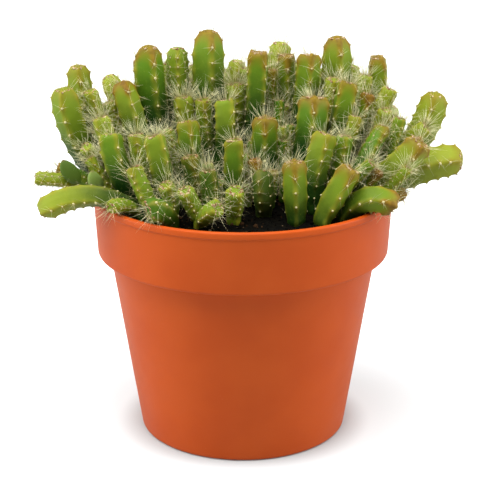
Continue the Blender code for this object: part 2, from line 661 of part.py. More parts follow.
def make_shoot(name, curve, leads, group):
    """One shoot as a curve bevelled with its section, made a closed mesh."""
    points, radii = shoot_stations(curve, leads)
    section = rib_section(curve, group)
    data = bpy.data.curves.new(name, "CURVE")
    data.dimensions = "3D"
    data.twist_mode = "MINIMUM"
    data.bevel_mode = "OBJECT"
    data.bevel_object = section
    data.use_fill_caps = True
    spline = data.splines.new("POLY")
    spline.points.add(len(points) - 1)
    for point, spot, radius in zip(spline.points, points, radii):
        point.co = (*(spot * MM), 1)
        point.radius = radius
    path = add_object(name + "_path", data, group)
    mesh = evaluated_mesh(path)

    def weld(bm):
        bmesh.ops.remove_doubles(bm, verts=bm.verts, dist=1e-6)
        bmesh.ops.recalc_face_normals(bm, faces=bm.faces)

    with_bmesh(mesh, weld)
    bpy.data.objects.remove(path, do_unlink=True)
    bpy.data.objects.remove(section, do_unlink=True)
    return add_object(name, mesh, group)


def needle(curve, t, rib):
    """Root and point of a bristle: it stands straight out low on a shoot and leans up its axis at the tip."""
    out, up = rib_way(curve, t, rib), heading(curve, t)
    lean = math.radians(NEEDLE_LEAN + (NEEDLE_LEAN_AT_TIP - NEEDLE_LEAN) * t**4)
    way = out * math.cos(lean) + up * math.sin(lean)
    length = NEEDLE_LENGTH + (NEEDLE_LENGTH_AT_TIP - NEEDLE_LENGTH) * t
    axis = Vector(point_on(curve, t))
    girth = float(girth_at(curve, t))
    return axis + out * girth * NEEDLE_ROOT, axis + out * girth + way * length


def grow_needles(curves):
    """Each shoot's bristles, spread over its ribs and clear of all other shoots, bristles, pot and soil."""
    t = np.linspace(0, 1, 25)
    beads = [(point_on(curve, t), girth_at(curve, t)) for curve in curves]
    taken = np.full((1, 3), 1e3)
    grown = []
    for k, curve in enumerate(curves):
        rest_points = np.concatenate([points for j, (points, radii) in enumerate(beads) if j != k])
        rest_radii = np.concatenate([radii for j, (points, radii) in enumerate(beads) if j != k])
        wanted = 0 if curve.shoot.flat < 1 else NEEDLES_BARE + round(NEEDLES_COATED * curve.shoot.coat)
        own = []
        for place in range(NEEDLE_PLACES * curve.shoot.ribs):
            if len(own) == wanted:
                break
            at = NEEDLES_HIGHEST - NEEDLES_SPAN * (place * GOLDEN % 1)
            root, point = needle(curve, at, place % curve.shoot.ribs)
            samples = np.array(root) + NEEDLE_OUTSIDE * (np.array(point) - np.array(root))
            clear = np.linalg.norm(samples[:, None] - rest_points[None], axis=2) - rest_radii[None]
            spread = np.linalg.norm(samples[:, None] - taken[None], axis=2)
            bumped = np.abs(push_off_pot(samples, np.full(len(samples), NEEDLE_RADIUS))).max()
            if clear.min() > NEEDLE_CLEAR and spread.min() > 2 * NEEDLE_CLEAR and bumped == 0:
                own.append((root, point))
                taken = np.concatenate([taken, samples])
        grown.append(own)
    return grown


def make_needles(name, needles, group):
    """Bristles as three-sided cones in one mesh, roots sunk in their shoot."""
    mesh = bpy.data.meshes.new(name)

    def cones(bm):
        for root, point in needles:
            way = point - root
            turn = Vector((0, 0, 1)).rotation_difference(way).to_matrix().to_4x4()
            place = Matrix.Translation((root + way / 2) * MM) @ turn
            bmesh.ops.create_cone(
                bm, cap_ends=True, segments=3, radius1=NEEDLE_RADIUS * MM, radius2=0,
                depth=way.length * MM, matrix=place)

    with_bmesh(mesh, cones)
    return add_object(name, mesh, group)


def make_plant(name, curves, needles, material, group):
    """One plant: its shoots and their bristles fused in one solid, with its origin at its foot."""
    lead = make_shoot(name, curves[0], True, group)
    others = collection(name + "_shoots")
    for rank, curve in enumerate(curves[1:]):
        make_shoot(f"{name}_branch_{rank}", curve, False, others)
    make_needles(name + "_bristles", [one for own in needles for one in own], others)
    combine(lead, others, "UNION")
    foot = Vector(curves[0].foot) * MM
    lead.data.transform(Matrix.Translation(-foot))
    lead.location = foot
    finish(lead, material)


def main():
    clear_scene()
    group = collection("potted_dragon_fruit_cactus")
    plants = FRONT_PLANTS + back_plants()
    curves = settle(plants)
    needles = grow_needles(curves)
    make_pot(group)
    make_soil(plants, curves, group)
    for number, plant in enumerate(plants):
        own = [k for k, curve in enumerate(curves) if curve.plant == number]
        name = f"plant_{number:02d}" if number else "seedling"
        colour = Vector(SKIN_GREEN).lerp(Vector(SKIN_PALE), plant.shoots[0].tint)
        skin = plain_material(name + "_skin", colour, 0.5)
        make_plant(name, [curves[k] for k in own], [needles[k] for k in own], skin, group)


main()
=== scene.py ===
# A dragon fruit cactus in a plastic nursery pot: a dense clump of ribbed young shoots with pale bristles,
# in dark potting soil. Pieces are worked out in millimetres in the part's own frame, the pot's axis up +Z
# and the front of the clump towards -Y, and are turned to metres as their meshes are made.
import json
import math
from collections import namedtuple

import bpy
import numpy as np
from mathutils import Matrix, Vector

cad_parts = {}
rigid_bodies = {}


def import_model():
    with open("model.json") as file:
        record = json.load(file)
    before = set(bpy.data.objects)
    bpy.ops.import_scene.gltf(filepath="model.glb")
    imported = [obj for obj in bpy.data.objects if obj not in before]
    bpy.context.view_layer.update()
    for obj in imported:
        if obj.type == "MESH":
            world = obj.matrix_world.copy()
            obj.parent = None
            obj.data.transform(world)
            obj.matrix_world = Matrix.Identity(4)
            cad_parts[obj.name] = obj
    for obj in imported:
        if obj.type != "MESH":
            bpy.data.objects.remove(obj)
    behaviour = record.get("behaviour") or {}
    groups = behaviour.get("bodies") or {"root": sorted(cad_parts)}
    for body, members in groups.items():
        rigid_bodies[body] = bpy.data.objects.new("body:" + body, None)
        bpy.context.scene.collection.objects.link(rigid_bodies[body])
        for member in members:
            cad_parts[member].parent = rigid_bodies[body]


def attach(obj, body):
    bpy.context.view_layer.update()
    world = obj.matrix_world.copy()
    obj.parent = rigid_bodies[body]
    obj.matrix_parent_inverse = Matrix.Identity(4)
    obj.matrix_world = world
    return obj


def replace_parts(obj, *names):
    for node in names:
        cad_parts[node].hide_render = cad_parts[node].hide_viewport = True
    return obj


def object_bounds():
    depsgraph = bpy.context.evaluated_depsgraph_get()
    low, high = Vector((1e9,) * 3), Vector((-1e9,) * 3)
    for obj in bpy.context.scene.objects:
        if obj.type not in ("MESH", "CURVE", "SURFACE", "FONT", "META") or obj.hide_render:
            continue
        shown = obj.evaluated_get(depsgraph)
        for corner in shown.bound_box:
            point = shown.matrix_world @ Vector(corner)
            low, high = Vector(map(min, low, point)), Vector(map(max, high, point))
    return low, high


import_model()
cad_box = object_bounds()


# The pot is moulded in one piece of satin terracotta plastic, with a bead round its rim, a collar, and a
# body that tapers to a foot ring. It is a rounded profile carried round the axis, and drain holes are cut
# through its floor.
MM = 0.001
POT_AROUND = 192
POT_HEIGHT = 87.2
RIM_RADIUS = 52.5
COLLAR_RADIUS_TOP = 52.0
COLLAR_FOOT = 65.5
WALL = 1.4
DRAIN_RADIUS = 3.0
DRAIN_CIRCLE = 22.0
DRAIN_COUNT = 6
DRILL_AROUND = 24
DRILL_HEIGHTS = (-1.0, 4.0)
SHARP_FROM = 40.0
POT_CORNERS = (
    # radius, height, and how far from the corner its rounding starts
    (13.0, 0.0, 0.3),
    (13.7, 1.3, 0.3),
    (31.0, 1.3, 0.3),
    (31.7, 0.0, 0.3),
    (36.7, 0.0, 1.3),
    (46.85, COLLAR_FOOT, 0.35),
    (51.0, COLLAR_FOOT, 1.3),
    (COLLAR_RADIUS_TOP, 84.6, 0.25),
    (RIM_RADIUS, 85.1, 0.25),
    (RIM_RADIUS, POT_HEIGHT, 0.8),
    (50.65, POT_HEIGHT, 0.5),
    (49.6, COLLAR_FOOT + WALL, 1.2),
    (45.5, COLLAR_FOOT + WALL, 1.2),
    (35.3, 2.8, 1.2),
)


def rounded(corners, steps=6):
    """Each corner swapped for an arc, corner + start (1-s)^2 + stop s^2, as s goes from 0 to 1."""
    spots = np.array([corner[:2] for corner in corners])
    ends = np.vstack([[0.0, spots[0, 1]], spots, [0.0, spots[-1, 1]]])
    s = np.linspace(0, 1, steps)[:, None]
    path = [ends[:1]]
    for k, (before, corner, after) in enumerate(zip(ends, ends[1:], ends[2:])):
        start, stop = before - corner, after - corner
        start *= min(corners[k][2] / np.linalg.norm(start), 0.5)
        stop *= min(corners[k][2] / np.linalg.norm(stop), 0.5)
        path.append(corner + start * (1 - s) ** 2 + stop * s**2)
    return np.concatenate(path + [ends[-1:]])


def closed_skin_faces(rings, around):
    """Quads between rings of points numbered ring by ring, and triangles to the two poles numbered last."""
    ring, place = np.meshgrid(np.arange(rings - 1), np.arange(around), indexing="ij")
    here = ring * around + place
    beside = ring * around + (place + 1) % around
    quads = np.stack([here, beside, beside + around, here + around], -1).reshape(-1, 4)
    edge = np.arange(around)
    following = (edge + 1) % around
    low, high = np.full(around, rings * around), np.full(around, rings * around + 1)
    top = (rings - 1) * around
    fans = np.concatenate([
        np.stack([following, edge, low], -1),
        np.stack([top + edge, top + following, high], -1)])
    return quads, fans


def make_piece(name, points, face_sets, shades=None):
    """A smooth mesh object from points in mm and arrays of faces, with a shade for each point if given."""
    mesh = bpy.data.meshes.new(name)
    corners = np.concatenate([faces.ravel() for faces in face_sets]).astype(np.int32)
    sizes = np.concatenate([np.full(len(faces), faces.shape[1]) for faces in face_sets])
    mesh.vertices.add(len(points))
    mesh.vertices.foreach_set("co", (np.asarray(points) * MM).astype(np.float32).ravel())
    mesh.loops.add(len(corners))
    mesh.loops.foreach_set("vertex_index", corners)
    mesh.polygons.add(len(sizes))
    mesh.polygons.foreach_set("loop_start", (np.cumsum(sizes) - sizes).astype(np.int32))
    mesh.update(calc_edges=True)
    mesh.shade_smooth()
    if shades is not None:
        layer = mesh.color_attributes.new("growth_and_light", "FLOAT_COLOR", "POINT")
        layer.data.foreach_set("color", np.asarray(shades, dtype=np.float32).ravel())
    piece = bpy.data.objects.new(name, mesh)
    bpy.context.scene.collection.objects.link(piece)
    return piece


def turned(profile, around):
    """Rings of a turned form: each profile point carried round as radius (cos a, sin a), height."""
    a = np.arange(around) * math.tau / around
    rings = np.empty((len(profile) - 2, around, 3))
    rings[..., 0] = profile[1:-1, :1] * np.cos(a)
    rings[..., 1] = profile[1:-1, :1] * np.sin(a)
    rings[..., 2] = profile[1:-1, 1:]
    poles = [[0, 0, profile[0, 1]], [0, 0, profile[-1, 1]]]
    return np.concatenate([rings.reshape(-1, 3), poles])


class Value:
    """One number in a material, as a socket. Arithmetic on it adds Math nodes."""

    def __init__(self, socket):
        self.socket = socket

    def maths(self, operation, *numbers):
        node = self.socket.id_data.nodes.new("ShaderNodeMath")
        node.operation = operation
        for number, place in zip(numbers, node.inputs):
            plug(node, place, number)
        return Value(node.outputs[0])

    def __add__(self, other):
        return self.maths("ADD", self, other)

    def __sub__(self, other):
        return self.maths("SUBTRACT", self, other)

    def __rsub__(self, other):
        return self.maths("SUBTRACT", other, self)

    def __mul__(self, other):
        return self.maths("MULTIPLY", self, other)

    __radd__ = __add__
    __rmul__ = __mul__

    def between(self, low, high):
        """0 up to low, 1 from high, and a smooth step from one to the other."""
        node = self.socket.id_data.nodes.new("ShaderNodeMapRange")
        node.interpolation_type = "SMOOTHSTEP"
        plug(node, node.inputs["Value"], self)
        plug(node, node.inputs["From Min"], low)
        plug(node, node.inputs["From Max"], high)
        return Value(node.outputs["Result"])


def plug(node, place, value):
    """Sets a socket to a plain value, or links it to a Value or a socket."""
    if isinstance(value, Value):
        value = value.socket
    if isinstance(value, bpy.types.NodeSocket):
        node.id_data.links.new(value, place)
    else:
        place.default_value = value


class Finish:
    """A material on a Principled shader, built up node by node."""

    def __init__(self, name, **settings):
        self.material = bpy.data.materials.new(name)
        self.material.use_nodes = True
        self.shader = self.material.node_tree.nodes["Principled BSDF"]
        self.set(**settings)
        self.where = self.node("ShaderNodeTexCoord", {}, {}, "Object")

    def set(self, **settings):
        """Shader sockets by name, with a _ for each space."""
        for name, value in settings.items():
            plug(self.shader, self.shader.inputs[name.replace("_", " ")], value)

    def node(self, kind, settings, sockets, output=0):
        """One new node: its settings first, then its sockets by name or number."""
        node = self.material.node_tree.nodes.new(kind)
        for name, value in settings.items():
            setattr(node, name, value)
        for name, value in sockets.items():
            plug(node, node.inputs[name], value)
        return node.outputs[output]

    def noise(self, size, detail=2.0):
        """Soft noise from 0 to 1 with lumps about this many mm apart."""
        sockets = {"Vector": self.where, "Scale": 1 / (size * MM), "Detail": detail}
        return Value(self.node("ShaderNodeTexNoise", {}, sockets, "Fac"))

    def mix(self, share, first, second):
        """Two colours mixed by a share from 0 to 1."""
        return self.node("ShaderNodeMix", {"data_type": "RGBA"}, {0: share, 6: first, 7: second}, 2)

    def growth_and_light(self):
        """The four numbers that each point carries in its growth_and_light attribute: on the shoots the
        first is painted light and shade, on the bristles the third.
        """
        node = self.material.node_tree.nodes.new("ShaderNodeAttribute")
        node.attribute_name = "growth_and_light"
        parts = self.material.node_tree.nodes.new("ShaderNodeSeparateColor")
        plug(parts, parts.inputs[0], node.outputs["Color"])
        return [Value(socket) for socket in (*parts.outputs, node.outputs["Alpha"])]

    def bump(self, height, depth):
        """Relief of this many mm at most, from a height between 0 and 1."""
        sockets = {"Height": height, "Distance": depth * MM, "Strength": 1.0}
        self.set(Normal=self.node("ShaderNodeBump", {}, sockets, "Normal"))


def terracotta_plastic():
    """Moulded plastic: even orange red with faint clouds, and the fine orange peel of the mould."""
    finish = Finish("terracotta_plastic", Specular_IOR_Level=0.16)
    clouds = finish.noise(22.0, 3.0)
    colour = finish.mix(clouds.between(0.3, 0.7), (0.555, 0.077, 0.007, 1), (0.595, 0.089, 0.009, 1))
    flecks = finish.noise(0.9, 2.0)
    finish.set(Base_Color=finish.mix(flecks.between(0.68, 0.8) * 0.25, colour, (0.62, 0.15, 0.05, 1)))
    finish.set(Roughness=0.36 + 0.12 * finish.noise(6.0, 3.0))
    finish.bump(finish.noise(0.35, 2.0) * 0.7 + finish.noise(1.6, 1.0) * 0.3, 0.02)
    return finish.material


pot_profile = rounded(POT_CORNERS)
pot_faces = closed_skin_faces(len(pot_profile) - 2, POT_AROUND)
pot = make_piece("nursery_pot", turned(pot_profile, POT_AROUND), pot_faces)
pot.data.materials.append(terracotta_plastic())
drills = bpy.data.collections.new("drain_drills")
low, high = DRILL_HEIGHTS
drill_form = turned(
    np.array([(0, low), (DRAIN_RADIUS, low), (DRAIN_RADIUS, high), (0, high)]), DRILL_AROUND)
for k in range(DRAIN_COUNT):
    turn = math.tau * (k + 0.5) / DRAIN_COUNT
    place = np.array([math.cos(turn), math.sin(turn), 0.0]) * DRAIN_CIRCLE
    drill = make_piece(f"drain_drill_{k}", drill_form + place, closed_skin_faces(2, DRILL_AROUND))
    bpy.context.scene.collection.objects.unlink(drill)
    drills.objects.link(drill)
bpy.context.scene.collection.children.link(drills)
drain = pot.modifiers.new("Drains", "BOOLEAN")
drain.operand_type = "COLLECTION"
drain.collection = drills
bpy.context.view_layer.update()
pot.data = bpy.data.meshes.new_from_object(pot.evaluated_get(bpy.context.evaluated_depsgraph_get()))
pot.modifiers.clear()
for drill in list(drills.objects):
    bpy.data.objects.remove(drill)
bpy.data.collections.remove(drills)
pot.data.shade_smooth()
pot.data.set_sharp_from_angle(angle=math.radians(SHARP_FROM))
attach(pot, "root")
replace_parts(pot, "pot")


# The soil is dark peaty potting mix, pressed up to just under the rim and crowned a little. Its top is one
# surface raised by crossed noises, with loose crumbs bedded in it and a few brown and pale bits.
SOIL_EDGE = 83.6
SOIL_CROWN = 1.6
SOIL_CROWN_RADIUS = 50.0
SOIL_AROUND = 224
SOIL_RINGS = 84
SOIL_GAP = 0.3
SOIL_SEED = 5
SOIL_REACH = 50.0
LATTICE = 256
LATTICE_SHIFT = (101.3, 97.1)
SOIL_LUMPS = (
    # height of the relief, pitch of its lattice, seed
    (0.45, 6.0, 1),
    (0.4, 2.2, 2),
    (0.3, 0.9, 3),
)
CRUMB_SIDES = 5
CRUMB_COUNT = 2400
CRUMBS_WITHIN = 49.3
CRUMB_SIZES = (0.25, 0.95)
CRUMB_STRETCH = (0.55, 1.15)
CRUMB_LIFT = 0.25


def lumps(x, y, pitch, seed):
    """Noise from -1 to 1: random heights on a square lattice, blended by p^2 (3-2p) across each square."""
    lattice = np.random.default_rng(seed).uniform(-1, 1, (LATTICE, LATTICE))
    u, v = x / pitch + LATTICE_SHIFT[0], y / pitch + LATTICE_SHIFT[1]
    i, j = np.floor(u).astype(int), np.floor(v).astype(int)
    p, q = u - i, v - j
    p, q = p * p * (3 - 2 * p), q * q * (3 - 2 * q)
    near, far = (
        lattice[i % LATTICE, (j + side) % LATTICE] * (1 - p)
        + lattice[(i + 1) % LATTICE, (j + side) % LATTICE] * p for side in (0, 1))
    return near * (1 - q) + far * q


def soil_level(x, y):
    """The soil's mean level: a low crown that falls to the pot's wall."""
    return SOIL_EDGE + SOIL_CROWN * (1 - (x * x + y * y) / SOIL_CROWN_RADIUS**2)


def soil_top(x, y):
    """The crumbly surface: three sizes of lumps, added up on the mean level."""
    return soil_level(x, y) + sum(height * lumps(x, y, pitch, seed) for height, pitch, seed in SOIL_LUMPS)


def make_many(name, copies, face_sets, shades):
    """One piece of many small forms, from an array of form, point and x, y, z. All have the same faces."""
    first = copies.shape[1] * np.arange(len(copies))[:, None, None]
    faces = [(kind + first).reshape(-1, kind.shape[1]) for kind in face_sets]
    shades = np.broadcast_to(shades, (*copies.shape[:2], 4))
    return make_piece(name, copies.reshape(-1, 3), faces, shades)


def potting_mix():
    """Damp peat, nearly black and set darker still as painted shade under the clump, clouded with brown,
    and dull.
    """
    finish = Finish("potting_mix", Roughness=0.95, Specular_IOR_Level=0.08)
    shade = finish.growth_and_light()[0]
    cloud = finish.noise(2.5, 4.0).between(0.35, 0.7)
    # Painted shade: these peat colours are set darker than the peat itself, for the shade under the clump.
    dark = finish.mix(cloud, (0.0012, 0.0010, 0.0005, 1), (0.0045, 0.0034, 0.0015, 1))
    brown = finish.mix(shade.between(0.5, 0.8), dark, (0.045, 0.022, 0.009, 1))
    finish.set(Base_Color=finish.mix(shade.between(0.93, 0.97), brown, (0.28, 0.20, 0.11, 1)))
    finish.bump(finish.noise(0.5, 4.0), 0.35)
    return finish.material


soil_walls = rounded((
    (35.0, 3.1, 1.2),
    (45.2, COLLAR_FOOT + SOIL_GAP, 0.2),
    (46.1, COLLAR_FOOT + WALL + SOIL_GAP, 0.2),
    (49.25, COLLAR_FOOT + WALL + SOIL_GAP, 0.8),
    (50.1, SOIL_EDGE - 0.4, 0.4)))[:-1]
soil_spread = np.linspace(SOIL_REACH, 0.0, SOIL_RINGS)
soil_rings = np.stack([soil_spread, np.full(SOIL_RINGS, SOIL_EDGE)], -1)
soil_points = turned(np.vstack([soil_walls, soil_rings]), SOIL_AROUND)
on_top = soil_points[:, 2] > SOIL_EDGE - 0.2
soil_points[on_top, 2] = soil_top(*soil_points[on_top, :2].T)
soil_faces = closed_skin_faces(len(soil_walls) + SOIL_RINGS - 2, SOIL_AROUND)
soil = make_piece("potting_soil", soil_points, soil_faces, np.zeros((len(soil_points), 4)))

draw = np.random.default_rng(SOIL_SEED)
reach = CRUMBS_WITHIN * np.sqrt(draw.uniform(0, 1, CRUMB_COUNT))
turn = draw.uniform(0, math.tau, CRUMB_COUNT)
low, high = CRUMB_SIZES
size = low + (high - low) * draw.uniform(0, 1, CRUMB_COUNT) ** 3
x, y = reach * np.cos(turn), reach * np.sin(turn)
middle = np.stack([x, y, soil_top(x, y) + CRUMB_LIFT * size], -1)
crumb_form = turned(np.array([(0, -1), (0.9, -0.45), (0.9, 0.45), (0, 1)]), CRUMB_SIDES)
stretch = size[:, None, None] * draw.uniform(*CRUMB_STRETCH, (CRUMB_COUNT, len(crumb_form), 3))
crumb_shades = draw.uniform(0, 1, (CRUMB_COUNT, 1, 1)) ** 1.5
crumbs = make_many(
    "soil_crumbs", middle[:, None] + crumb_form * stretch, closed_skin_faces(2, CRUMB_SIDES), crumb_shades)
mix_material = potting_mix()
for piece in (soil, crumbs):
    piece.data.materials.append(mix_material)
    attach(piece, "root")
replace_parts(soil, "soil")


# The clump: young plants pressed into the pot so close that their shoots lean apart. Each row says where a
# shoot's tip shows from the front, and the shoots then settle clear of each other and of the rim.
EYE = np.array([0.0, -480.0, 223.5])
UP = np.array([0.0, 0.0, 1.0])
NECK_RISE = 1.5
FOOT_GIRTH = 0.64
TIP_GIRTH = 0.72
DOMED_AWAY = 0.24
SETTLE_ROUNDS = 280
SETTLE_FREE = 90
SETTLE_BEADS = 9
LAST_BEAD = 0.97
SETTLE_GAP = 0.75
POT_GAP = 0.45
FOOT_FREE = 0.12
KIN_APART = 0.4
FEET_WITHIN = 44.5
SETTLE_EASE = 0.9
FOOT_EASE = 0.6
CROSS_SIGHT = 0.4
BEND_HOME = 0.01
TIP_HOME = 0.02
PAIRS_REACH = 4.0
PAIRS_EVERY = 10

# across and height place the tip on the front sheet, depth is how far it lies behind that sheet, and width
# is across the ribs, in mm. turn is the way of its front rib in degrees, bow how far it arches, coat how
# bristly it is, tint how pale (dull, where below zero), blush how brown its tip, full where it reaches full
# girth, dome how round its tip, flat how thick a seed leaf is to its width, and crown how full its tuft is.
Shoot = namedtuple(
    "Shoot", "across height depth width ribs turn bow coat tint blush full dome flat crown",
    defaults=(0.38, 0, 1, 1))
Plant = namedtuple("Plant", "foot shoots")
Curve = namedtuple("Curve", "plant foot bend tip girth length shoot")


def plant(x, y, *shoots):
    """A plant of one or two shoots, its foot at x, y."""
    return Plant((x, y), shoots)


FRONT_PLANTS = (
    plant(-41.5, -15.5,
        Shoot(-53.2, 93.7, -19, 4.9, 4, 0, 0.4, 0, 0.2, 0, full=0.6, dome=2, flat=0.4),
        Shoot(-62.0, 97, -16, 5.4, 4, 20, 0.3, 0, 0.05, 0, full=0.6, dome=2, flat=0.4)),
    plant(-42, -3,
        Shoot(-61.3, 122, -4, 9.8, 4, -8, -0.8, 0.3, 0.5, 0.5, dome=0.7),
        Shoot(-54.0, 102, -13, 5, 3, 33, 0.2, 1.0, 0.7, 0.1)),
    plant(-41, 8,
        Shoot(-56.0, 130, 7, 8, 4, 12, -0.6, 0.7, 0.75, 0.6, dome=0.6),
        Shoot(-51.5, 122, 0, 5.6, 3, 14, 0, 0.8, 0.8, 0.3)),
    plant(-34, 21, Shoot(-46.5, 126.2, 22, 7.6, 4, 40, -0.2, 0.8, 1.0, 0.1, dome=1)),
    plant(-33, 4,
        Shoot(-41.5, 124.2, 5, 8.4, 4, 20, 0, 0.5, 0.6, 0.9, dome=0.6),
        Shoot(-47.5, 117, 4, 5.4, 3, 24, 0, 1.0, 0.8, 0.1)),
    plant(-26, 5, Shoot(-32.0, 136.6, 8, 10.4, 4, 24, -0.3, 0.25, 0.1, 0.8, dome=1)),
    plant(-21, 15,
        Shoot(-21.9, 136.2, 16, 7.6, 4, 5, 0, 0.8, 0.5, 0.3, dome=0.8),
        Shoot(-18.5, 125, 16, 6, 3, 33, 0, 1.0, 0.8, 0.1, crown=2.2)),
    plant(-11, 14,
        Shoot(-11.2, 141.8, 16, 10.6, 4, 15, 0, 0.25, 0.3, 0.8, dome=1),
        Shoot(-2.0, 132, 21, 7, 3, 14, 0, 0.9, 1.0, 0.1, dome=0.8)),
    plant(3, 5, Shoot(5.0, 135, 6, 8.2, 4, 40, 0, 0.35, 0.2, 0.8)),
    plant(10, 21,
        Shoot(13.0, 138, 24, 8, 4, -8, 0, 0.9, 0.9, 0.2, dome=0.8),
        Shoot(9.8, 129, 14, 4.6, 3, 24, 0, 0.8, 0.5, 0.7, crown=2.0)),
    plant(17, 12,
        Shoot(22.1, 134, 12, 8.2, 4, 10, 0, 0.6, 0.3, 0.8),
        Shoot(15.0, 134, 16, 6.4, 3, 5, 0, 0.7, 0.4, 0.8)),
    plant(26, 14,
        Shoot(31.6, 139.6, 14, 10.2, 4, 12, -0.4, 0.3, 0.5, 0.8, dome=1),
        Shoot(38.5, 130, 24, 6, 3, -20, 0, 0.9, 0.8, 0.1, dome=0.8, crown=1.6)),
    plant(36, 15,
        Shoot(45.4, 132.8, 15, 7.8, 4, 40, -0.8, 0.6, 0.5, 0.8, dome=0.8),
        Shoot(51.0, 122, 14, 6, 3, 40, 0, 1.0, 0.9, 0.1)),
    plant(42, 3,
        Shoot(65.2, 120.6, 4, 9.8, 4, -12, -1, 0.35, 0.85, 0.6, dome=0.8),
        Shoot(64.0, 108, -2, 5.8, 3, 24, 0.2, 1.0, 0.9, 0.1, crown=2.4)),
    plant(40, -11,
        Shoot(75.0, 95.6, -9, 11, 4, -14, -1.2, 0.35, 1.0, 0.6, full=0.5, dome=0.8),
        Shoot(61.8, 103.4, -16, 10, 4, 4, 0, 0.6, 0.75, 0.8)),
    plant(35, -26,
        Shoot(53.2, 79.6, -31, 9, 4, -20, 0.9, 0.5, 0.4, 0.9, full=0.6),
        Shoot(56.0, 84.2, -19, 5.2, 3, 10, 0.5, 1.0, 0.5, 1.0, crown=1.8)),
    plant(26, -32, Shoot(37.6, 94.2, -31, 8.8, 4, 15, 0.1, 0.5, 0.45, 0.8, crown=1.4)),
    plant(17.5, -32, Shoot(17.8, 96.6, -31, 8.2, 4, 0, 0, 0.4, 0.4, 0.8, crown=1.1)),
    plant(22.5, -20, Shoot(28.6, 106.5, -18, 8.8, 4, 12, 0.3, 0.5, 0.55, 0.5, crown=1.2)),
    plant(19, -6,
        Shoot(24.0, 119.3, -4, 10.4, 4, 0, 0, 0.5, 0.1, 0.8, crown=2.0),
        Shoot(13.4, 109, -2, 5.4, 3, 24, 0, 1.0, 0.5, 0.1)),
    plant(31, 4,
        Shoot(35.6, 124.3, 4, 8, 4, -40, 0, 0.6, 0.3, 0.7, crown=2.2),
        Shoot(32.0, 126, 12, 6, 3, 5, 0, 1.0, 0.9, 0.1)),
    plant(7, -10, Shoot(7.6, 112.2, -9, 8.6, 4, 0, 0, 0.5, 0.2, 0.8, crown=1.4)),
    plant(-3, -21, Shoot(-2.3, 104.4, -20, 7.6, 3, 42, -0.2, 0.7, 0.2, 0.5, crown=1.1)),
    plant(-8, -1,
        Shoot(-6.5, 118.2, 1, 7.8, 3, 38, 0, 0.7, 0.5, 0.2, crown=1.8),
        Shoot(-13.2, 118.8, 3, 6, 3, 10, 0, 0.8, 0.5, 0.5, crown=2.0)),
    plant(-18, -9,
        Shoot(-19.5, 110.8, -8, 7.8, 4, 15, 0, 0.5, 0.3, 0.6),
        Shoot(-26.0, 108, -4, 5.6, 3, 24, 0, 0.9, 0.5, 0.1)),
    plant(-25, -24, Shoot(-30.9, 105.8, -22, 8.8, 4, 42, 0.1, 0.7, 0.5, 0.3, crown=1.7)),
    plant(-33, -14, Shoot(-37.0, 106.4, -12, 6.2, 3, 5, 0, 0.9, 0.6, 0.4, crown=1.7)),
    plant(-39, -19, Shoot(-46.4, 106, -20, 8.6, 4, 32, -0.8, 0.3, 0.2, 0.3, crown=1.2)),
    plant(-32, -28, Shoot(-38.4, 94.4, -27, 6.4, 3, -20, 0, 1.0, 0.45, 0.5)),
    plant(-15, -18, Shoot(-18.2, 98.6, -17, 7.4, 3, 14, 0, 0.9, -0.5, 0.5)),
    plant(-10, -27, Shoot(-12.2, 93.4, -26, 6.8, 3, 40, 0, 1.0, -0.5, 0.3)),
    plant(-24, -34,
        Shoot(-33.2, 77.4, -42, 8.8, 4, -8, 0.8, 0.8, -0.4, 0.0, crown=0.6),
        Shoot(-27.2, 88, -34, 6.2, 3, 24, 0.4, 1.0, 0.4, 0.4)),
    plant(-14, -36,
        Shoot(-9.2, 80, -43, 6.8, 3, -32, 0.9, 0.8, 0.5, 0.1),
        Shoot(-20.0, 86, -38, 6.4, 3, 5, 0.4, 0.9, 0.45, 0.3)),
    plant(-3, -32, Shoot(-2.6, 86.2, -36, 7, 3, 33, 0.4, 0.9, 0.5, 0.1)),
    plant(7, -27,
        Shoot(6.4, 92.5, -25, 7.6, 3, -20, 0, 1.0, -0.6, 0.3),
        Shoot(3.4, 97.4, -21, 5.2, 3, 20, 0, 1.0, -0.6, 0.9)),
    plant(-38, -28,
        Shoot(-70.6, 77.6, -25, 8.8, 4, -18, 0.3, 0.3, 0.85, 0.4, full=0.8, dome=0.6),
        Shoot(-46.6, 79.4, -36, 5.2, 3, 40, 0.5, 1.0, 0.5, 0.3, crown=0.6)),
    plant(-44, -11,
        Shoot(-71.8, 90.6, -14, 5, 3, -8, 0.2, 0.8, 0.8, 0.1),
        Shoot(-64.5, 94, -9, 5.2, 3, 24, 0.1, 0.8, 0.0, 0.8)),
    plant(-37, -8, Shoot(-49.6, 112, -8, 6.6, 3, -32, -0.4, 1.0, 0.8, 0.1, crown=1.5)),
    plant(31, -14, Shoot(35.4, 105.6, -13, 6.4, 3, 5, 0, 1.0, 0.3, 0.2, crown=1.2)),
    plant(35, -5,
        Shoot(38.7, 112.8, -4, 5, 3, 33, 0, 0.9, 0.8, 0.5),
        Shoot(43.4, 103, -8, 5.4, 3, -20, 0, 0.9, 0.4, 0.1, crown=1.2)),
    plant(41, 11,
        Shoot(44.2, 120, 5, 5.2, 3, 14, 0, 0.9, 0.4, 1.0),
        Shoot(48.4, 115.4, 4, 5.6, 3, 40, 0.2, 0.9, 0.9, 0.0)),
    plant(39, -19,
        Shoot(47.4, 93.5, -18, 5, 3, -8, 0, 1.0, 0.2, 1.0),
        Shoot(49.0, 107.5, -6, 6, 3, 24, 0, 1.0, 0.1, 0.7, crown=1.5)),
    plant(-18, 4, Shoot(-20.4, 119.6, 5, 7.2, 3, -32, 0, 1.0, 0.8, 0.2, crown=2.4)),
    plant(-4, 12, Shoot(-4.2, 124, 11, 7.2, 3, 5, 0, 1.0, 0.7, 0.3, crown=2.4)),
    plant(36, 22, Shoot(42.0, 121, 24, 6.4, 3, 33, 0, 1.0, 0.8, 0.1)),
)

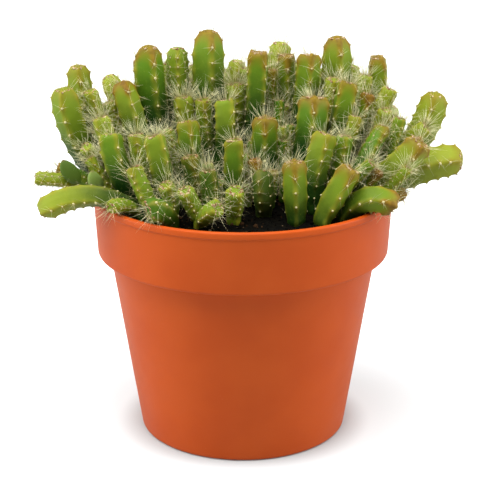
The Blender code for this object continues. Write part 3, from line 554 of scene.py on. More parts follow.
# The back of the clump is planted by rule: a ring near the wall that leans out, and a ring inside it that
# stands.
BACK_SEED = 11
BACK_RINGS = (
    # count, first angle, last angle, foot radius, tip radius, lowest and highest tip
    (9, 22.0, 158.0, 42.0, 57.0, 96.0, 112.0),
    (4, 52.0, 128.0, 32.5, 36.0, 112.0, 122.0),
)
BACK_REACH = (0.86, 1.08)
BACK_WIDTHS = (6.0, 9.6)
BACK_FOUR_RIBBED = 0.6
BACK_TURN_UNEVEN = 3.0
BACK_FORK_UNEVEN = 4.0

# A back plant's two shoots part by BACK_FORK degrees, and the second one is nearer, lower and thinner.
BACK_FORK = 24.0
SECOND_REACH = 0.86
SECOND_LOWER = 3.0
SECOND_WIDTH = 0.8


def from_sheet(across, height, depth):
    """The point that shows at (across, height) on the front sheet, depth mm behind it."""
    return EYE + (np.array([across, 0.0, height]) - EYE) * (1 + depth / -EYE[1])


def back_plants():
    """Plants on two arcs behind the clump, with seeded variation in place, height and width."""
    draw = np.random.default_rng(BACK_SEED)
    plants = []
    for count, first, last, foot_radius, tip_radius, low, high in BACK_RINGS:
        for k in range(count):
            uneven = draw.uniform(-BACK_TURN_UNEVEN, BACK_TURN_UNEVEN)
            turn = math.radians(first + (last - first) * k / (count - 1) + uneven)
            foot = foot_radius * np.array([math.cos(turn), math.sin(turn)]) + draw.uniform(-1, 1, 2)
            shoots = []
            for second in (0, 1):
                uneven = draw.uniform(-BACK_FORK_UNEVEN, BACK_FORK_UNEVEN)
                way = turn + math.radians((second - 0.5) * BACK_FORK + uneven)
                reach = tip_radius * draw.uniform(*BACK_REACH) * SECOND_REACH**second
                top = draw.uniform(low, high) - SECOND_LOWER * second
                depth = reach * math.sin(way)
                near = 1 + depth / -EYE[1]
                shoots.append(Shoot(
                    across=reach * math.cos(way) / near,
                    height=EYE[2] + (top - EYE[2]) / near,
                    depth=depth,
                    width=draw.uniform(*BACK_WIDTHS) * SECOND_WIDTH**second,
                    ribs=4 if draw.random() < BACK_FOUR_RIBBED else 3,
                    turn=draw.uniform(0, 90),
                    bow=draw.uniform(-0.4, 0.1),
                    coat=draw.uniform(0.3, 1.0),
                    tint=draw.uniform(0.1, 0.8),
                    blush=draw.uniform(0.0, 0.9)))
            plants.append(plant(*foot, *shoots))
    return tuple(plants)


def standing(x, y):
    """Where a plant starts to lean, just above the soil, and never too near the pot's wall."""
    inward = min(1.0, FEET_WITHIN / max(math.hypot(x, y), 1e-6))
    return np.array([x * inward, y * inward, soil_level(x * inward, y * inward) + NECK_RISE])


def stem_share(t, foot_girth, full, blunt, tip_girth, dome):
    """A stem's girth at t as a share of its full girth: it swells from the foot as r^2 (3-2r) with
    r = t / full, and s = 0 to 1 over its blunt end draws it in as the root of 1 - (1 - tip_girth^2) s^p."""
    rise = np.clip(t / full, 0, 1)
    body = foot_girth + (1 - foot_girth) * rise * rise * (3 - 2 * rise)
    end = np.clip((t - (1 - blunt)) / blunt, 0, 1)
    return body * np.sqrt(1 - (1 - tip_girth**2) * end ** (4 - 1.4 * dome))


def settling_share(t, slim, full, dome):
    """The girth that a stem settles with, where slim is its full girth to its length."""
    return stem_share(t, FOOT_GIRTH, full, slim * (1 + dome), TIP_GIRTH - DOMED_AWAY * dome, dome)


def weights(t):
    """How much foot, bend and tip each count at t."""
    return np.stack([(1 - t) ** 2, 2 * t * (1 - t), t * t], axis=-1)


def unit(ways):
    """Each way made one long."""
    return ways / np.linalg.norm(ways, axis=1)[:, None]


def lengths_of(foot, bend, tip):
    """Each shoot's length, taken from foot to bend and from bend to tip."""
    return np.linalg.norm(bend - foot, axis=1) + np.linalg.norm(tip - bend, axis=1)


def push_off_pot(points, radii):
    """The moves that take beads off the pot's wall and rim, and up off the soil inside it."""
    reach = np.hypot(points[:, 0], points[:, 1])
    inner = COLLAR_RADIUS_TOP - WALL
    nearest = np.stack([np.clip(reach, inner, RIM_RADIUS), np.minimum(points[:, 2], POT_HEIGHT)], 1)
    away = np.stack([reach, points[:, 2]], 1) - nearest
    away[np.abs(away).sum(1) < 1e-6] = (0.0, 0.01)
    far = np.hypot(away[:, 0], away[:, 1])
    move = away / far[:, None] * np.clip(radii + POT_GAP - far, 0, None)[:, None]
    sunk = soil_level(points[:, 0], points[:, 1]) + radii + SOIL_GAP - points[:, 2]
    outward = points[:, :2] / np.maximum(reach, 1e-6)[:, None]
    rise = move[:, 1] + np.where(reach < inner, np.clip(sunk, 0, None), 0)
    return np.column_stack([outward * move[:, :1], rise])


def settle(plants):
    """Every shoot's curve once the shoots have leaned clear of each other and of the pot."""
    shoots = [shoot for foot, own in plants for shoot in own]
    owner = np.repeat(np.arange(len(plants)), [len(own) for foot, own in plants])
    lead = np.searchsorted(owner, owner)
    girth = np.array([s.width / 2 * (1 - s.depth / EYE[1]) for s in shoots])
    full, dome, bow = np.array([(s.full, s.dome, s.bow) for s in shoots], float).T[:, :, None]
    foot = np.array([standing(*plants[index].foot) for index in owner])
    tip = np.array([from_sheet(s.across, s.height, s.depth) for s in shoots])
    chord = tip - foot
    arch = UP - chord * (chord[:, 2] / (chord**2).sum(1))[:, None]
    arch *= (np.linalg.norm(chord, axis=1) / (np.linalg.norm(arch, axis=1) + 1e-9))[:, None]
    bend = (foot + tip) / 2 + arch * bow / 4
    home_bend, home_tip = bend.copy(), tip.copy()
    count, beads = len(shoots), len(shoots) * SETTLE_BEADS
    bead_shoot = np.repeat(np.arange(count), SETTLE_BEADS)
    first_a, first_b = np.triu_indices(beads, 1)
    for turn in range(SETTLE_ROUNDS):
        t = np.clip((np.arange(SETTLE_BEADS) + 0.25 + 0.5 * (turn % 2)) / SETTLE_BEADS, 0, LAST_BEAD)
        share = weights(t)
        points = np.einsum("kc,nci->nki", share, np.stack([foot, bend, tip], 1)).reshape(-1, 3)
        length = lengths_of(foot, bend, tip)
        shares = settling_share(t[None, :], (girth / length)[:, None], full, dome)
        radii = (girth[:, None] * shares).reshape(-1)
        high = np.tile(t, count) > KIN_APART
        if turn % PAIRS_EVERY == 0:
            near = np.linalg.norm(points[first_a] - points[first_b], axis=1)
            near = near < radii[first_a] + radii[first_b] + PAIRS_REACH
            near &= bead_shoot[first_a] != bead_shoot[first_b]
            pair_a, pair_b = first_a[near], first_b[near]
            kin = owner[bead_shoot[pair_a]] == owner[bead_shoot[pair_b]]
        gap = points[pair_a] - points[pair_b]
        far = np.linalg.norm(gap, axis=1) + 1e-9
        over = np.clip(radii[pair_a] + radii[pair_b] + SETTLE_GAP - far, 0, None) / 2
        over[kin & ~(high[pair_a] & high[pair_b])] = 0
        part = gap / far[:, None] * over[:, None]
        push = np.zeros_like(points)
        np.add.at(push, pair_a, part)
        np.add.at(push, pair_b, -part)
        sight = unit(points - EYE)
        along = (push * sight).sum(1)[:, None] * sight
        push = along + (push - along) * CROSS_SIGHT
        push += push_off_pot(points, radii) * (np.tile(t, count) > FOOT_FREE)[:, None]
        pull = np.einsum("kc,nki->cni", share, push.reshape(count, SETTLE_BEADS, 3)) * SETTLE_EASE
        pull /= share.sum(0)[:, None, None]
        bend = bend + pull[1]
        tip = tip + pull[2]
        shift = np.zeros_like(foot)
        np.add.at(shift, lead, pull[0])
        foot = np.array([standing(*spot[:2]) for spot in (foot + FOOT_EASE * shift)[lead]])
        if turn < SETTLE_ROUNDS - SETTLE_FREE:
            bend += (home_bend - bend) * BEND_HOME
            tip += (home_tip - tip) * TIP_HOME
    length = lengths_of(foot, bend, tip)
    return [
        Curve(owner[k], foot[k], bend[k], tip[k], girth[k], length[k], shoots[k])
        for k in range(count)]


# The shoots are fleshy green stems with three or four ribs, stout down to the soil and blunt at the tip.
# Each plant is one piece: rings of points carried up each shoot's axis, drawn in between the ribs and
# between their knobs.
POINTS_TO_A_RIB = {3: 10, 4: 9}
YOUNG_POINTS = 7
RINGS_TO_A_KNOB = 6
YOUNG_RINGS = 4
CROWDED_TO_RIBS = 0.6
NECK_HIDDEN = 3.0
BRANCH_FROM = 0.05
BRANCH_ROOT = 0.7
STOUT_FOOT = 0.80
PLUMP = 1.10
LEAF_STALK = 0.52
FACE_BULGE = {3: 0.68, 4: 0.76}
YOUNG_BULGE = 0.86
YOUNG_COAT = 0.75
RIB_SHARPNESS = 2.6
KNOB_BARE = 0.06
KNOB_COATED = 0.08
KNOBS_APART = 2.2
KNOBS_APART_BY_GIRTH = 0.55
YOUNG_KNOBS_APART = 0.72

# A tip's blunt length in girths, its girth and its rise over its rim: for a flat tip, and what a dome adds.
BLUNT_LENGTHS = (0.8, 1.1)
BLUNT_GIRTHS = (0.80, -0.22)
CAP_RISES = (0.08, 0.26)

# The rings that close a tip lie this far in from its rim. Its ribs stand up at its rim as corners, most on
# the third ring of the last seven, and a flat tip has a dimple.
CAP = np.array([0.16, 0.36, 0.58, 0.8])
CORNER_RISE = 0.20
CORNER_SHARES = np.array([0.2, 0.55, 1.0, 0.75, 0.4, 0.12, 0.0])
DIMPLE = 0.16

# The brown reaches this far down from the tip, and further on the ribs.
RIPE_DEPTH = 6.5
RIPE_ON_RIBS = 6.0

# The green is painted lit this far down from the tip on shoots of these lengths, with painted shade below:
# short ones stand in the light at the front, and middling ones in the shade of their neighbours.
LIT_LENGTHS = (18.0, 28.0, 55.0)
LIT_DEPTHS = (18.0, 12.0, 22.0)


def is_young(shoot):
    """Whether a shoot is a young one, which its furry coat tells."""
    return shoot.coat > YOUNG_COAT


def knob_count(curve):
    """Knobs along each rib: nearer together on thin shoots, and more so on young ones."""
    apart = KNOBS_APART + KNOBS_APART_BY_GIRTH * curve.girth
    if is_young(curve.shoot):
        apart *= YOUNG_KNOBS_APART
    return max(3, round(curve.length / apart))


def stagger(curve, rib):
    """How far a rib's knobs are shifted up, as a share of their spacing, so that they spiral upwards."""
    return rib / 3 % 1 if curve.shoot.ribs == 3 else rib / 2 % 1


def way_round(curve, along, degrees):
    """A way out from the axis: its compass way at the foot, turned as straight up is turned to the axis."""
    compass = math.radians(curve.shoot.turn - 90 + degrees)
    level = np.array([math.cos(compass), math.sin(compass), 0.0])
    pivot = np.cross(UP, along)
    swung = np.cross(pivot, level)
    return level + swung + np.cross(pivot, swung) / (1 + along[:, 2:])


def axis_at(curve, t):
    """Points on the axis: foot (1-t)^2, bend 2t(1-t) and tip t^2 added up, and the axis's way there."""
    spots = weights(t) @ np.array([curve.foot, curve.bend, curve.tip])
    along = (1 - t)[:, None] * (curve.bend - curve.foot) + t[:, None] * (curve.tip - curve.bend)
    return spots, unit(along)


def flesh_girth(curve, t):
    """The girth in mm at t: full from a stout foot, and rounded off within a girth of the tip. A seed leaf
    has a thin stalk and then a pointed blade b, as b^0.6 (1-b)^0.75."""
    shoot = curve.shoot
    if shoot.flat < 1:
        blade = np.clip((t - LEAF_STALK) / (1 - LEAF_STALK), 0, 1)
        return curve.girth * (0.04 + 0.16 * (1 - blade) + 2.4 * blade**0.6 * (1 - blade) ** 0.75)
    blunt, tip_girth = (flat + domed * shoot.dome for flat, domed in (BLUNT_LENGTHS, BLUNT_GIRTHS))
    blunt *= curve.girth / curve.length
    share = stem_share(t, STOUT_FOOT, shoot.full, blunt, tip_girth, shoot.dome)
    return PLUMP * curve.girth * share


def skin_radius(curve, t, a):
    """Distance from axis to skin in mm: the girth, drawn in at the faces and between the ribs' knobs."""
    shoot = curve.shoot
    girth = flesh_girth(curve, t)
    if shoot.flat < 1:
        return girth * np.ones_like(a), np.ones_like(t * a)
    crest = (0.5 + 0.5 * np.cos(shoot.ribs * a)) ** RIB_SHARPNESS
    rib = np.floor(a * shoot.ribs / math.tau + 0.5) % shoot.ribs
    dip = np.abs(np.sin(math.pi * (t * knob_count(curve) - stagger(curve, rib))))
    knob = KNOB_BARE + KNOB_COATED * shoot.coat
    bulge = YOUNG_BULGE if is_young(shoot) else FACE_BULGE[shoot.ribs]
    return girth * (bulge + (1 - bulge) * crest) * (1 - knob * dip * crest), crest * (1 - 0.5 * dip)


def shoot_skin(curve, leads):
    """Rings of skin from foot to tip, closed by smaller rings over the tip, and a shade for each point."""
    shoot = curve.shoot
    rings_up = (YOUNG_RINGS if is_young(shoot) else RINGS_TO_A_KNOB) * knob_count(curve)
    start = 0 if leads else max(1, round(BRANCH_FROM * rings_up))
    t = np.arange(start, rings_up + 1) / rings_up
    around = (YOUNG_POINTS if is_young(shoot) else POINTS_TO_A_RIB[shoot.ribs]) * shoot.ribs
    even = np.arange(around) * math.tau / around
    a = even - CROWDED_TO_RIBS * np.sin(shoot.ribs * even) / shoot.ribs
    spots, along = axis_at(curve, t)
    radius, crest = skin_radius(curve, t[:, None], a[None, :])
    if leads:
        spots = np.vstack([spots[0] - NECK_HIDDEN * UP, spots])
        along = np.vstack([UP, along])
        t = np.append(0.0, t)
        radius = np.vstack([radius[:1], radius])
        crest = np.vstack([crest[:1], crest])
    else:
        radius[0] *= BRANCH_ROOT
    front, side = way_round(curve, along, 0), way_round(curve, along, 90)
    section = np.cos(a)[:, None] * shoot.flat * front[:, None] + np.sin(a)[:, None] * side[:, None]
    rings = spots[:, None] + radius[..., None] * section
    tip, way, rim = spots[-1], along[-1], rings[-1] - spots[-1]
    end_radius = radius[-1].mean()
    dimple = DIMPLE * max(0.0, 1 - shoot.dome) * CAP**2
    flat, domed = CAP_RISES
    rise = end_radius * ((flat + domed * shoot.dome) * (1 - (1 - CAP) ** 2) - dimple)
    caps = tip + rim[None] * (1 - CAP)[:, None, None] + way * rise[:, None, None]
    rings = np.concatenate([rings, caps])
    corner = CORNER_RISE * end_radius * max(0.0, 1 - shoot.dome) * crest[-1]
    rings[-len(CORNER_SHARES):] += CORNER_SHARES[:, None, None] * corner[:, None] * way
    poles = np.array([spots[0], tip + way * (rise[-1] + 0.01)])
    t = np.append(t, np.ones(len(CAP)))
    crest = np.concatenate([crest, crest[-1:] * (1 - CAP)[:, None]])
    from_tip = curve.length * (1 - t)[:, None]
    shades = np.empty((len(t), around, 4))
    # Painted light: a shoot that leans out of the clump is painted lit further down its length.
    sideways = np.linalg.norm((curve.tip - curve.foot)[:2]) / curve.length
    lit_depth = np.interp(curve.length, LIT_LENGTHS, LIT_DEPTHS) * (1 + sideways)
    shades[..., 0] = 1 - from_tip / lit_depth
    shades[..., 1] = crest
    shades[..., 2] = shoot.tint
    shades[..., 3] = shoot.blush * np.clip(1 - (from_tip - RIPE_ON_RIBS * crest) / RIPE_DEPTH, 0, 1)
    shades = np.concatenate([shades.reshape(-1, 4), shades[0, :1], shades[-1, :1]])
    return np.concatenate([rings.reshape(-1, 3), poles]), shades, closed_skin_faces(len(rings), around)


def cactus_flesh():
    """Waxy skin: deep green low down as painted shade, lit fresh green near the tip as painted light,
    yellower on the ribs, and browned at the tip.
    """
    finish = Finish("cactus_flesh", Specular_IOR_Level=0.16)
    lit_from_tip, crest, tint, ripe = finish.growth_and_light()
    cloud = finish.noise(3.5, 3.0)
    low = finish.mix(tint, (0.007, 0.042, 0.004, 1), (0.020, 0.058, 0.005, 1))
    high = finish.mix(tint, (0.085, 0.205, 0.005, 1), (0.29, 0.34, 0.022, 1))
    # Painted shade: the green darkens from the lit tip down each shoot, and the ribs' yellow fades out in
    # that shade.
    green = finish.mix((lit_from_tip + 0.3 * cloud).between(0.0, 1.0), low, high)
    on_rib = crest.between(0.1, 0.85) * lit_from_tip.between(-0.4, 0.9) * 0.75
    ribbed = finish.mix(on_rib, green, (0.34, 0.31, 0.022, 1))
    mottled = finish.mix(finish.noise(0.8, 2.0).between(0.55, 0.8) * 0.25, ribbed, (0.24, 0.30, 0.030, 1))
    shady = finish.mix(tint.between(-1.0, 0.0), (0.045, 0.048, 0.012, 1), mottled)
    olive = finish.mix((ripe + 0.2 * cloud).between(0.25, 0.85) * 0.7, shady, (0.25, 0.19, 0.010, 1))
    patch = finish.noise(1.6, 2.0).between(0.3, 0.7)
    brown = finish.mix(patch, (0.17, 0.062, 0.010, 1), (0.30, 0.155, 0.013, 1))
    finish.set(Base_Color=finish.mix((ripe + 0.25 * cloud).between(0.65, 1.1) * 0.8, olive, brown))
    finish.set(Roughness=0.40 + 0.2 * finish.noise(1.5, 2.0))
    finish.set(Subsurface_Weight=0.08, Subsurface_Radius=(0.8, 1.0, 0.3), Subsurface_Scale=0.001)
    finish.bump(finish.noise(0.6, 3.0) * 0.6 + finish.noise(2.5, 2.0) * 0.4, 0.09)
    return finish.material


def seed_leaf():
    """The seedling's smooth leaves: bluish green with a paler middle, and dull."""
    finish = Finish("seed_leaf", Specular_IOR_Level=0.3)
    lit_from_tip, _, tint, _ = finish.growth_and_light()
    green = finish.mix(tint.between(0.05, 0.2), (0.085, 0.150, 0.012, 1), (0.25, 0.36, 0.06, 1))
    veined = finish.mix(finish.noise(2.2, 2.0) * 0.3 * tint.between(0.0, 0.2), green, (0.36, 0.48, 0.20, 1))
    withered = (lit_from_tip + 0.04 * finish.noise(1.5)).between(0.97, 1.03) * 0.7
    finish.set(Base_Color=finish.mix(withered, veined, (0.20, 0.10, 0.03, 1)))
    finish.set(Roughness=0.5 + 0.15 * finish.noise(1.5, 2.0))
    finish.bump(finish.noise(0.8, 3.0), 0.05)
    return finish.material


# A seed leaf's axis bends this far under its tip, and this share of the way from there towards its foot.
LEAF_UPRIGHT = 8.0
LEAF_INWARD = 0.12


def shoots_piece(name, shoots, material):
    """One piece from shoots that share a foot or are loose. The first from each foot reaches the soil."""
    points, shades, faces, first = [], [], [], 0
    feet = set()
    for curve in shoots:
        skin, shade, (quads, fans) = shoot_skin(curve, tuple(curve.foot) not in feet)
        feet.add(tuple(curve.foot))
        points.append(skin)
        shades.append(shade)
        faces.extend([quads + first, fans + first])
        first += len(skin)
    piece = make_piece(name, np.concatenate(points), faces, np.concatenate(shades))
    piece.data.materials.append(material)
    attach(piece, "root")
    return piece


plants = FRONT_PLANTS + back_plants()
curves = settle(plants)
for k, curve in enumerate(curves):
    if curve.shoot.flat < 1:
        bend = curve.tip + LEAF_INWARD * (curve.foot - curve.tip) * (1 - UP) - LEAF_UPRIGHT * UP
        curves[k] = curve._replace(bend=bend)
flesh, leaf = cactus_flesh(), seed_leaf()
for number in range(len(plants)):
    node = f"plant_{number:02d}" if number else "seedling"
    grown = [curve for curve in curves if curve.plant == number]
    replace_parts(shoots_piece(node + "_skin", grown, flesh if number else leaf), node)


# The youngest shoots: thin and furry, they have come up wherever the grown ones left room, behind the front
# row. Seeded tries are made, and a try is kept where it stands clear of every shoot before it.
YOUNG_SEED = 41
YOUNG_TRIES = 4000
YOUNG_WIDTHS = (3.2, 5.6)
YOUNG_FEET_WITHIN = 43.5
YOUNG_FROM = -17.0
YOUNG_TO = 30.0
YOUNG_TOP = 96.0
YOUNG_TOP_TO_BACK = 0.70
YOUNG_LEAN = 17.0
YOUNG_LEAN_UNEVEN = 6.0
YOUNG_UNEVEN = 7.0
YOUNG_ROOM = 0.15
YOUNG_TINTS = (0.2, 0.9)
YOUNG_FRONT = 5.0
YOUNG_DULLER = 0.5
BEAD_SHARE = 0.85

# The young shoots that the front shows: across and height of the tip on the front sheet, the depths that it
# may lie at, width, how pale, and how full its tuft is.
YOUNG_SEEN = (
    (-27.0, 131.0, (8, 42), 6.4, 0.5, 1.5),
    (-17.3, 130.5, (8, 42), 5.8, 0.7, 1.5),
    (-6.4, 128.0, (8, 42), 5.8, 0.7, 2.0),
    (0.6, 129.5, (8, 42), 5.4, 0.7, 2.0),
    (9.0, 127.5, (8, 42), 5.8, 0.5, 2.0),
    (18.2, 131.0, (8, 42), 5.8, 0.8, 1.5),
    (26.2, 129.0, (8, 42), 5.8, 0.5, 2.0),
    (41.8, 127.0, (8, 42), 5.6, 0.8, 2.0),
    (-50.5, 108.0, (-8, 8), 4.6, 0.7, 2.2),
    (-47.5, 101.0, (-14, 2), 4.4, 0.5, 2.2),
    (-53.5, 98.0, (-16, 0), 4.4, 0.7, 2.2),
    (57.0, 94.0, (-26, -12), 4.0, 0.6, 2.6),
    (54.0, 112.0, (-8, 8), 4.6, 0.4, 2.0),
    (51.5, 100.5, (-18, 0), 4.4, 0.3, 2.0),
    (45.0, 96.5, (-24, -8), 4.4, 0.3, 2.0),
)
SEEN_TRIES = 500
SEEN_SLACK = 1.2
SEEN_BLUSH = 0.2
SEEN_FEET = (0.5, 0.95)
SEEN_FEET_SPREAD = 6.0
SPROUT_CLEAR = 7


def beads_along(curve, count=12):
    """Balls that fill a shoot: their middles on its axis, and their radii."""
    t = (np.arange(count) + 0.5) / count
    return axis_at(curve, t)[0], flesh_girth(curve, t) * BEAD_SHARE


def young_curve(foot, tip, draw, **looks):
    """A young three-ribbed shoot from foot to tip, nearly straight."""
    shoot = Shoot(0, 0, 0, ribs=3, turn=draw.uniform(0, 120), bow=0, coat=0.8, **looks)
    length = np.linalg.norm(tip - foot)
    bend = (foot + tip) / 2 + draw.normal(0, 0.03, 3) * length
    return Curve(-1, foot, bend, tip, shoot.width / 2, length, shoot)


def tries_anywhere(draw):
    """Shoots with a random foot, lean, height and width, taller towards the back and duller in front."""
    for _ in range(YOUNG_TRIES):
        reach = YOUNG_FEET_WITHIN * math.sqrt(draw.uniform(0, 1))
        turn = draw.uniform(0, math.tau)
        foot = standing(reach * math.cos(turn), reach * math.sin(turn))
        if not YOUNG_FROM < foot[1] < YOUNG_TO:
            continue
        top = YOUNG_TOP + YOUNG_TOP_TO_BACK * (foot[1] - YOUNG_FROM)
        top += draw.uniform(-YOUNG_UNEVEN, YOUNG_UNEVEN)
        lean = YOUNG_LEAN * reach / YOUNG_FEET_WITHIN + draw.uniform(-YOUNG_LEAN_UNEVEN, YOUNG_LEAN_UNEVEN)
        lean = math.tan(math.radians(lean))
        tip = foot + (top - foot[2]) * np.array([math.cos(turn) * lean, math.sin(turn) * lean, 1.0])
        yield young_curve(
            foot, tip, draw, width=draw.uniform(*YOUNG_WIDTHS),
            tint=draw.uniform(*YOUNG_TINTS) - (YOUNG_DULLER if foot[1] < YOUNG_FRONT else 0),
            blush=draw.uniform(0, 1.0) ** 2)


def tries_at(across, height, depths, width, tint, crown, draw):
    """Shoots whose tip shows at a given place from the front, each with another depth and foot."""
    for _ in range(SEEN_TRIES):
        tip = from_sheet(across + draw.uniform(-SEEN_SLACK, SEEN_SLACK), height, draw.uniform(*depths))
        foot = standing(*(tip[:2] * draw.uniform(*SEEN_FEET) + draw.normal(0, SEEN_FEET_SPREAD, 2)))
        yield young_curve(foot, tip, draw, width=width, tint=tint, blush=SEEN_BLUSH, crown=crown)


def young_shoots(grown):
    """Tries for each seen shoot and then anywhere, each kept where its beads stay off all the others. A
    seen shoot may have sprouted from a neighbour's flank, so only its upper beads are held clear."""
    draw = np.random.default_rng(YOUNG_SEED)
    middles, radii = (np.concatenate(parts) for parts in zip(*[beads_along(curve) for curve in grown]))
    kept = []
    rounds = [(1, SPROUT_CLEAR, tries_at(*row, draw)) for row in YOUNG_SEEN]
    for wanted, clear, tries in rounds + [(YOUNG_TRIES, 0, tries_anywhere(draw))]:
        for curve in tries:
            own, own_radii = beads_along(curve)
            gaps = np.linalg.norm(own[:, None] - middles[None], axis=2) - own_radii[:, None] - radii[None]
            if gaps[clear:].min() > YOUNG_ROOM:
                kept.append(curve)
                middles, radii = np.concatenate([middles, own]), np.concatenate([radii, own_radii])
                wanted -= 1
            if not wanted:
                break
    return kept


young = young_shoots(curves)
shoots_piece("young_shoots", young, flesh)
curves = curves + young


# The areoles: small felted cushions on the ribs' knobs, pale yellow, from which the bristles grow, and tan
# wool at the tips. Each is a low lump of six sides sunk a little into the skin.
AREOLE_RADIUS = 0.38
AREOLES_FROM = 0.10
AREOLES_TO = 0.985
AREOLE_SEED = 31
AREOLE_BY_GIRTH = (0.55, 0.12)
LUMP_SIDES = 6
LUMP_SUNK = 0.3
LUMP_RISE = 0.7
TIP_WOOL = 1.3
WOOL_SIZE = 1.3
SkinSpot = namedtuple("SkinSpot", "points outward along t shoot girth")


def on_skin(curve, t, a):
    """Points of the skin at t and a, with the way out of the skin there and the way up the axis."""
    spots, along = axis_at(curve, t)
    front, side = way_round(curve, along, 0), way_round(curve, along, 90)
    out = np.cos(a)[:, None] * front + np.sin(a)[:, None] * side
    radius = skin_radius(curve, t, a)[0]
    narrows = (radius - skin_radius(curve, t + 0.01, a)[0]) / (0.01 * curve.length)
    outward = unit(out + along * np.clip(narrows, -0.2, 2.0)[:, None])
    return spots + radius[:, None] * out, outward, along


def areole_spots(curve):
    """Where a shoot's areoles sit: on every knob of every rib, and on young shoots down each face too."""
    ribs, count = curve.shoot.ribs, knob_count(curve)
    rib = np.repeat(np.arange(ribs), count + 1)
    shifts = np.array([stagger(curve, k) for k in range(ribs)])
    t = (np.tile(np.arange(count + 1), ribs) + shifts[rib]) / count
    if is_young(curve.shoot):
        rib, t = np.append(rib, rib + 0.5), np.append(t, t + 0.5 / count)
    kept = (t > AREOLES_FROM) & (t < AREOLES_TO)
    points, outward, along = on_skin(curve, t[kept], rib[kept] * math.tau / ribs)
    return SkinSpot(points, outward, along, t[kept], curve.shoot, curve.girth)


def square_to(ways):
    """Two ways square to each given way and to each other."""
    first = unit(np.cross(ways, np.where(np.abs(ways[:, 2:]) < 0.9, UP, np.array([1.0, 0.0, 0.0]))))
    return first, np.cross(ways, first)


def circles_round(ways, sides, radii):
    """A ring of points round each way: first cos a + second sin a, times its radius."""
    first, second = square_to(ways)
    a = np.arange(sides) * math.tau / sides
    circle = first[:, None] * np.cos(a)[:, None] + second[:, None] * np.sin(a)[:, None]
    return radii[:, None, None] * circle


def round_the_tip(curve, count, draw):
    """Random places on a tip's rim, as its middle, the ways from there to them, and the ways out and up."""
    t = np.ones(count)
    points, outward, along = on_skin(curve, t, draw.uniform(0, math.tau, count))
    middle = axis_at(curve, t)[0]
    return middle, points - middle, outward, along


def tip_wool(curve, draw):
    """Where a tip's youngest areoles crowd: round its rim and over its top, facing mostly up."""
    count = round((3 + 5 * curve.shoot.coat) * curve.girth * TIP_WOOL)
    middle, out, outward, along = round_the_tip(curve, count, draw)
    share = np.sqrt(draw.uniform(0.3, 1.0, count))[:, None]
    facing = unit(along + outward * share)
    return SkinSpot(middle + out * share, facing, along, np.ones(count), curve.shoot, curve.girth)


def areole_felt():
    """Pale yellow felt on the ribs, reddish tan where it is young."""
    finish = Finish("areole_felt", Roughness=0.9, Specular_IOR_Level=0.2)
    young = finish.growth_and_light()[0]
    pale = finish.mix(finish.noise(0.4, 2.0), (0.60, 0.50, 0.20, 1), (0.84, 0.80, 0.46, 1))
    finish.set(Base_Color=finish.mix(young, pale, finish.mix(
        finish.noise(0.7, 2.0).between(0.4, 0.6), (0.26, 0.11, 0.035, 1), (0.74, 0.58, 0.36, 1))))
    finish.bump(finish.noise(0.12, 2.0), 0.08)
    return finish.material


draw = np.random.default_rng(AREOLE_SEED)
bristly = [curve for curve in curves if curve.shoot.flat == 1]
spots = [areole_spots(curve) for curve in bristly]
tips = [tip_wool(curve, draw) for curve in bristly]
middle = np.concatenate([spot.points for spot in spots + tips])
outward = np.concatenate([spot.outward for spot in spots + tips])
girths = np.concatenate([np.full(len(spot.t), spot.girth) for spot in spots + tips])
is_wool = np.arange(len(middle)) >= sum(len(spot.t) for spot in spots)
least, more = AREOLE_BY_GIRTH
size = AREOLE_RADIUS * (least + more * girths) * draw.uniform(0.8, 1.2, len(girths))
size *= np.where(is_wool, WOOL_SIZE, 1)
rim = middle[:, None] + circles_round(outward, LUMP_SIDES, size)
peaks = np.stack([middle + rise * size[:, None] * outward for rise in (-LUMP_SUNK, LUMP_RISE)], 1)
lumps_on_skin = np.concatenate([rim, peaks], 1)
areoles = make_many(
    "areoles", lumps_on_skin, closed_skin_faces(1, LUMP_SIDES)[1:], is_wool[:, None, None])
areoles.data.materials.append(areole_felt())
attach(areoles, "root")


# The bristles: hair-fine, tan at the root and cream above. Low on the shoots they are dulled, partly as old
# bristles weather and partly as painted shade deep in the clump. Every areole has a star of them, and each
# tip wears a crown of long ones. Each bristle is a slim three-sided taper with a bend.
BRISTLE_SEED = 23
STAR_RADIUS = 0.050
CROWN_RADIUS = 0.058
STAR_BARE = 6.4
STAR_COATED = -2.0
STAR_SHORT = 3.4
STAR_LONG = 5.8
STARS_FROM = 0.25
STARS_FULL_AFTER = 0.4
STAR_UNEVEN = (0.7, 1.25)
STAR_LENGTH_UNEVEN = (0.45, 1.3)
STAR_UPWARD = 0.25
STAR_ROOTED = 0.1
CROWN_FEW = 14
CROWN_MORE = 26
CROWN_GIRTH = 3.6
CROWN_LENGTHS = (3.5, 9.5)
CROWN_FROM_AXIS = (0.25, 1.02)
CROWN_ROOTED = 0.15
HAIR_BEND = 0.09
HAIR_SAG = 0.03
BOX_MARGIN = 2.2

# How far the bristles lean, in degrees: a star's from the way out of the skin, a crown's from the axis.
STAR_LEANS = (88, 33)
CROWN_LEANS = (8, 92)

# The faces of one bristle, and how far along it each of its points lies.
BRISTLE_SIDES = np.array([(0, 1, 4, 3), (1, 2, 5, 4), (2, 0, 3, 5)])
BRISTLE_ENDS = np.array([(3, 4, 6), (4, 5, 6), (5, 3, 6), (2, 1, 0)])
BRISTLE_ALONG = (0, 0, 0, 0.5, 0.5, 0.5, 1)


def star_ways(outward, draw):
    """Ways spread round each outward way, most of them nearly flat to the skin and some standing up."""
    first, second = square_to(outward)
    flat, steep = STAR_LEANS
    lean = np.radians(flat - (flat - steep) * draw.uniform(0, 1, len(outward)) ** 1.5)[:, None]
    turn = draw.uniform(0, math.tau, len(outward))[:, None]
    return outward * np.cos(lean) + (first * np.cos(turn) + second * np.sin(turn)) * np.sin(lean)


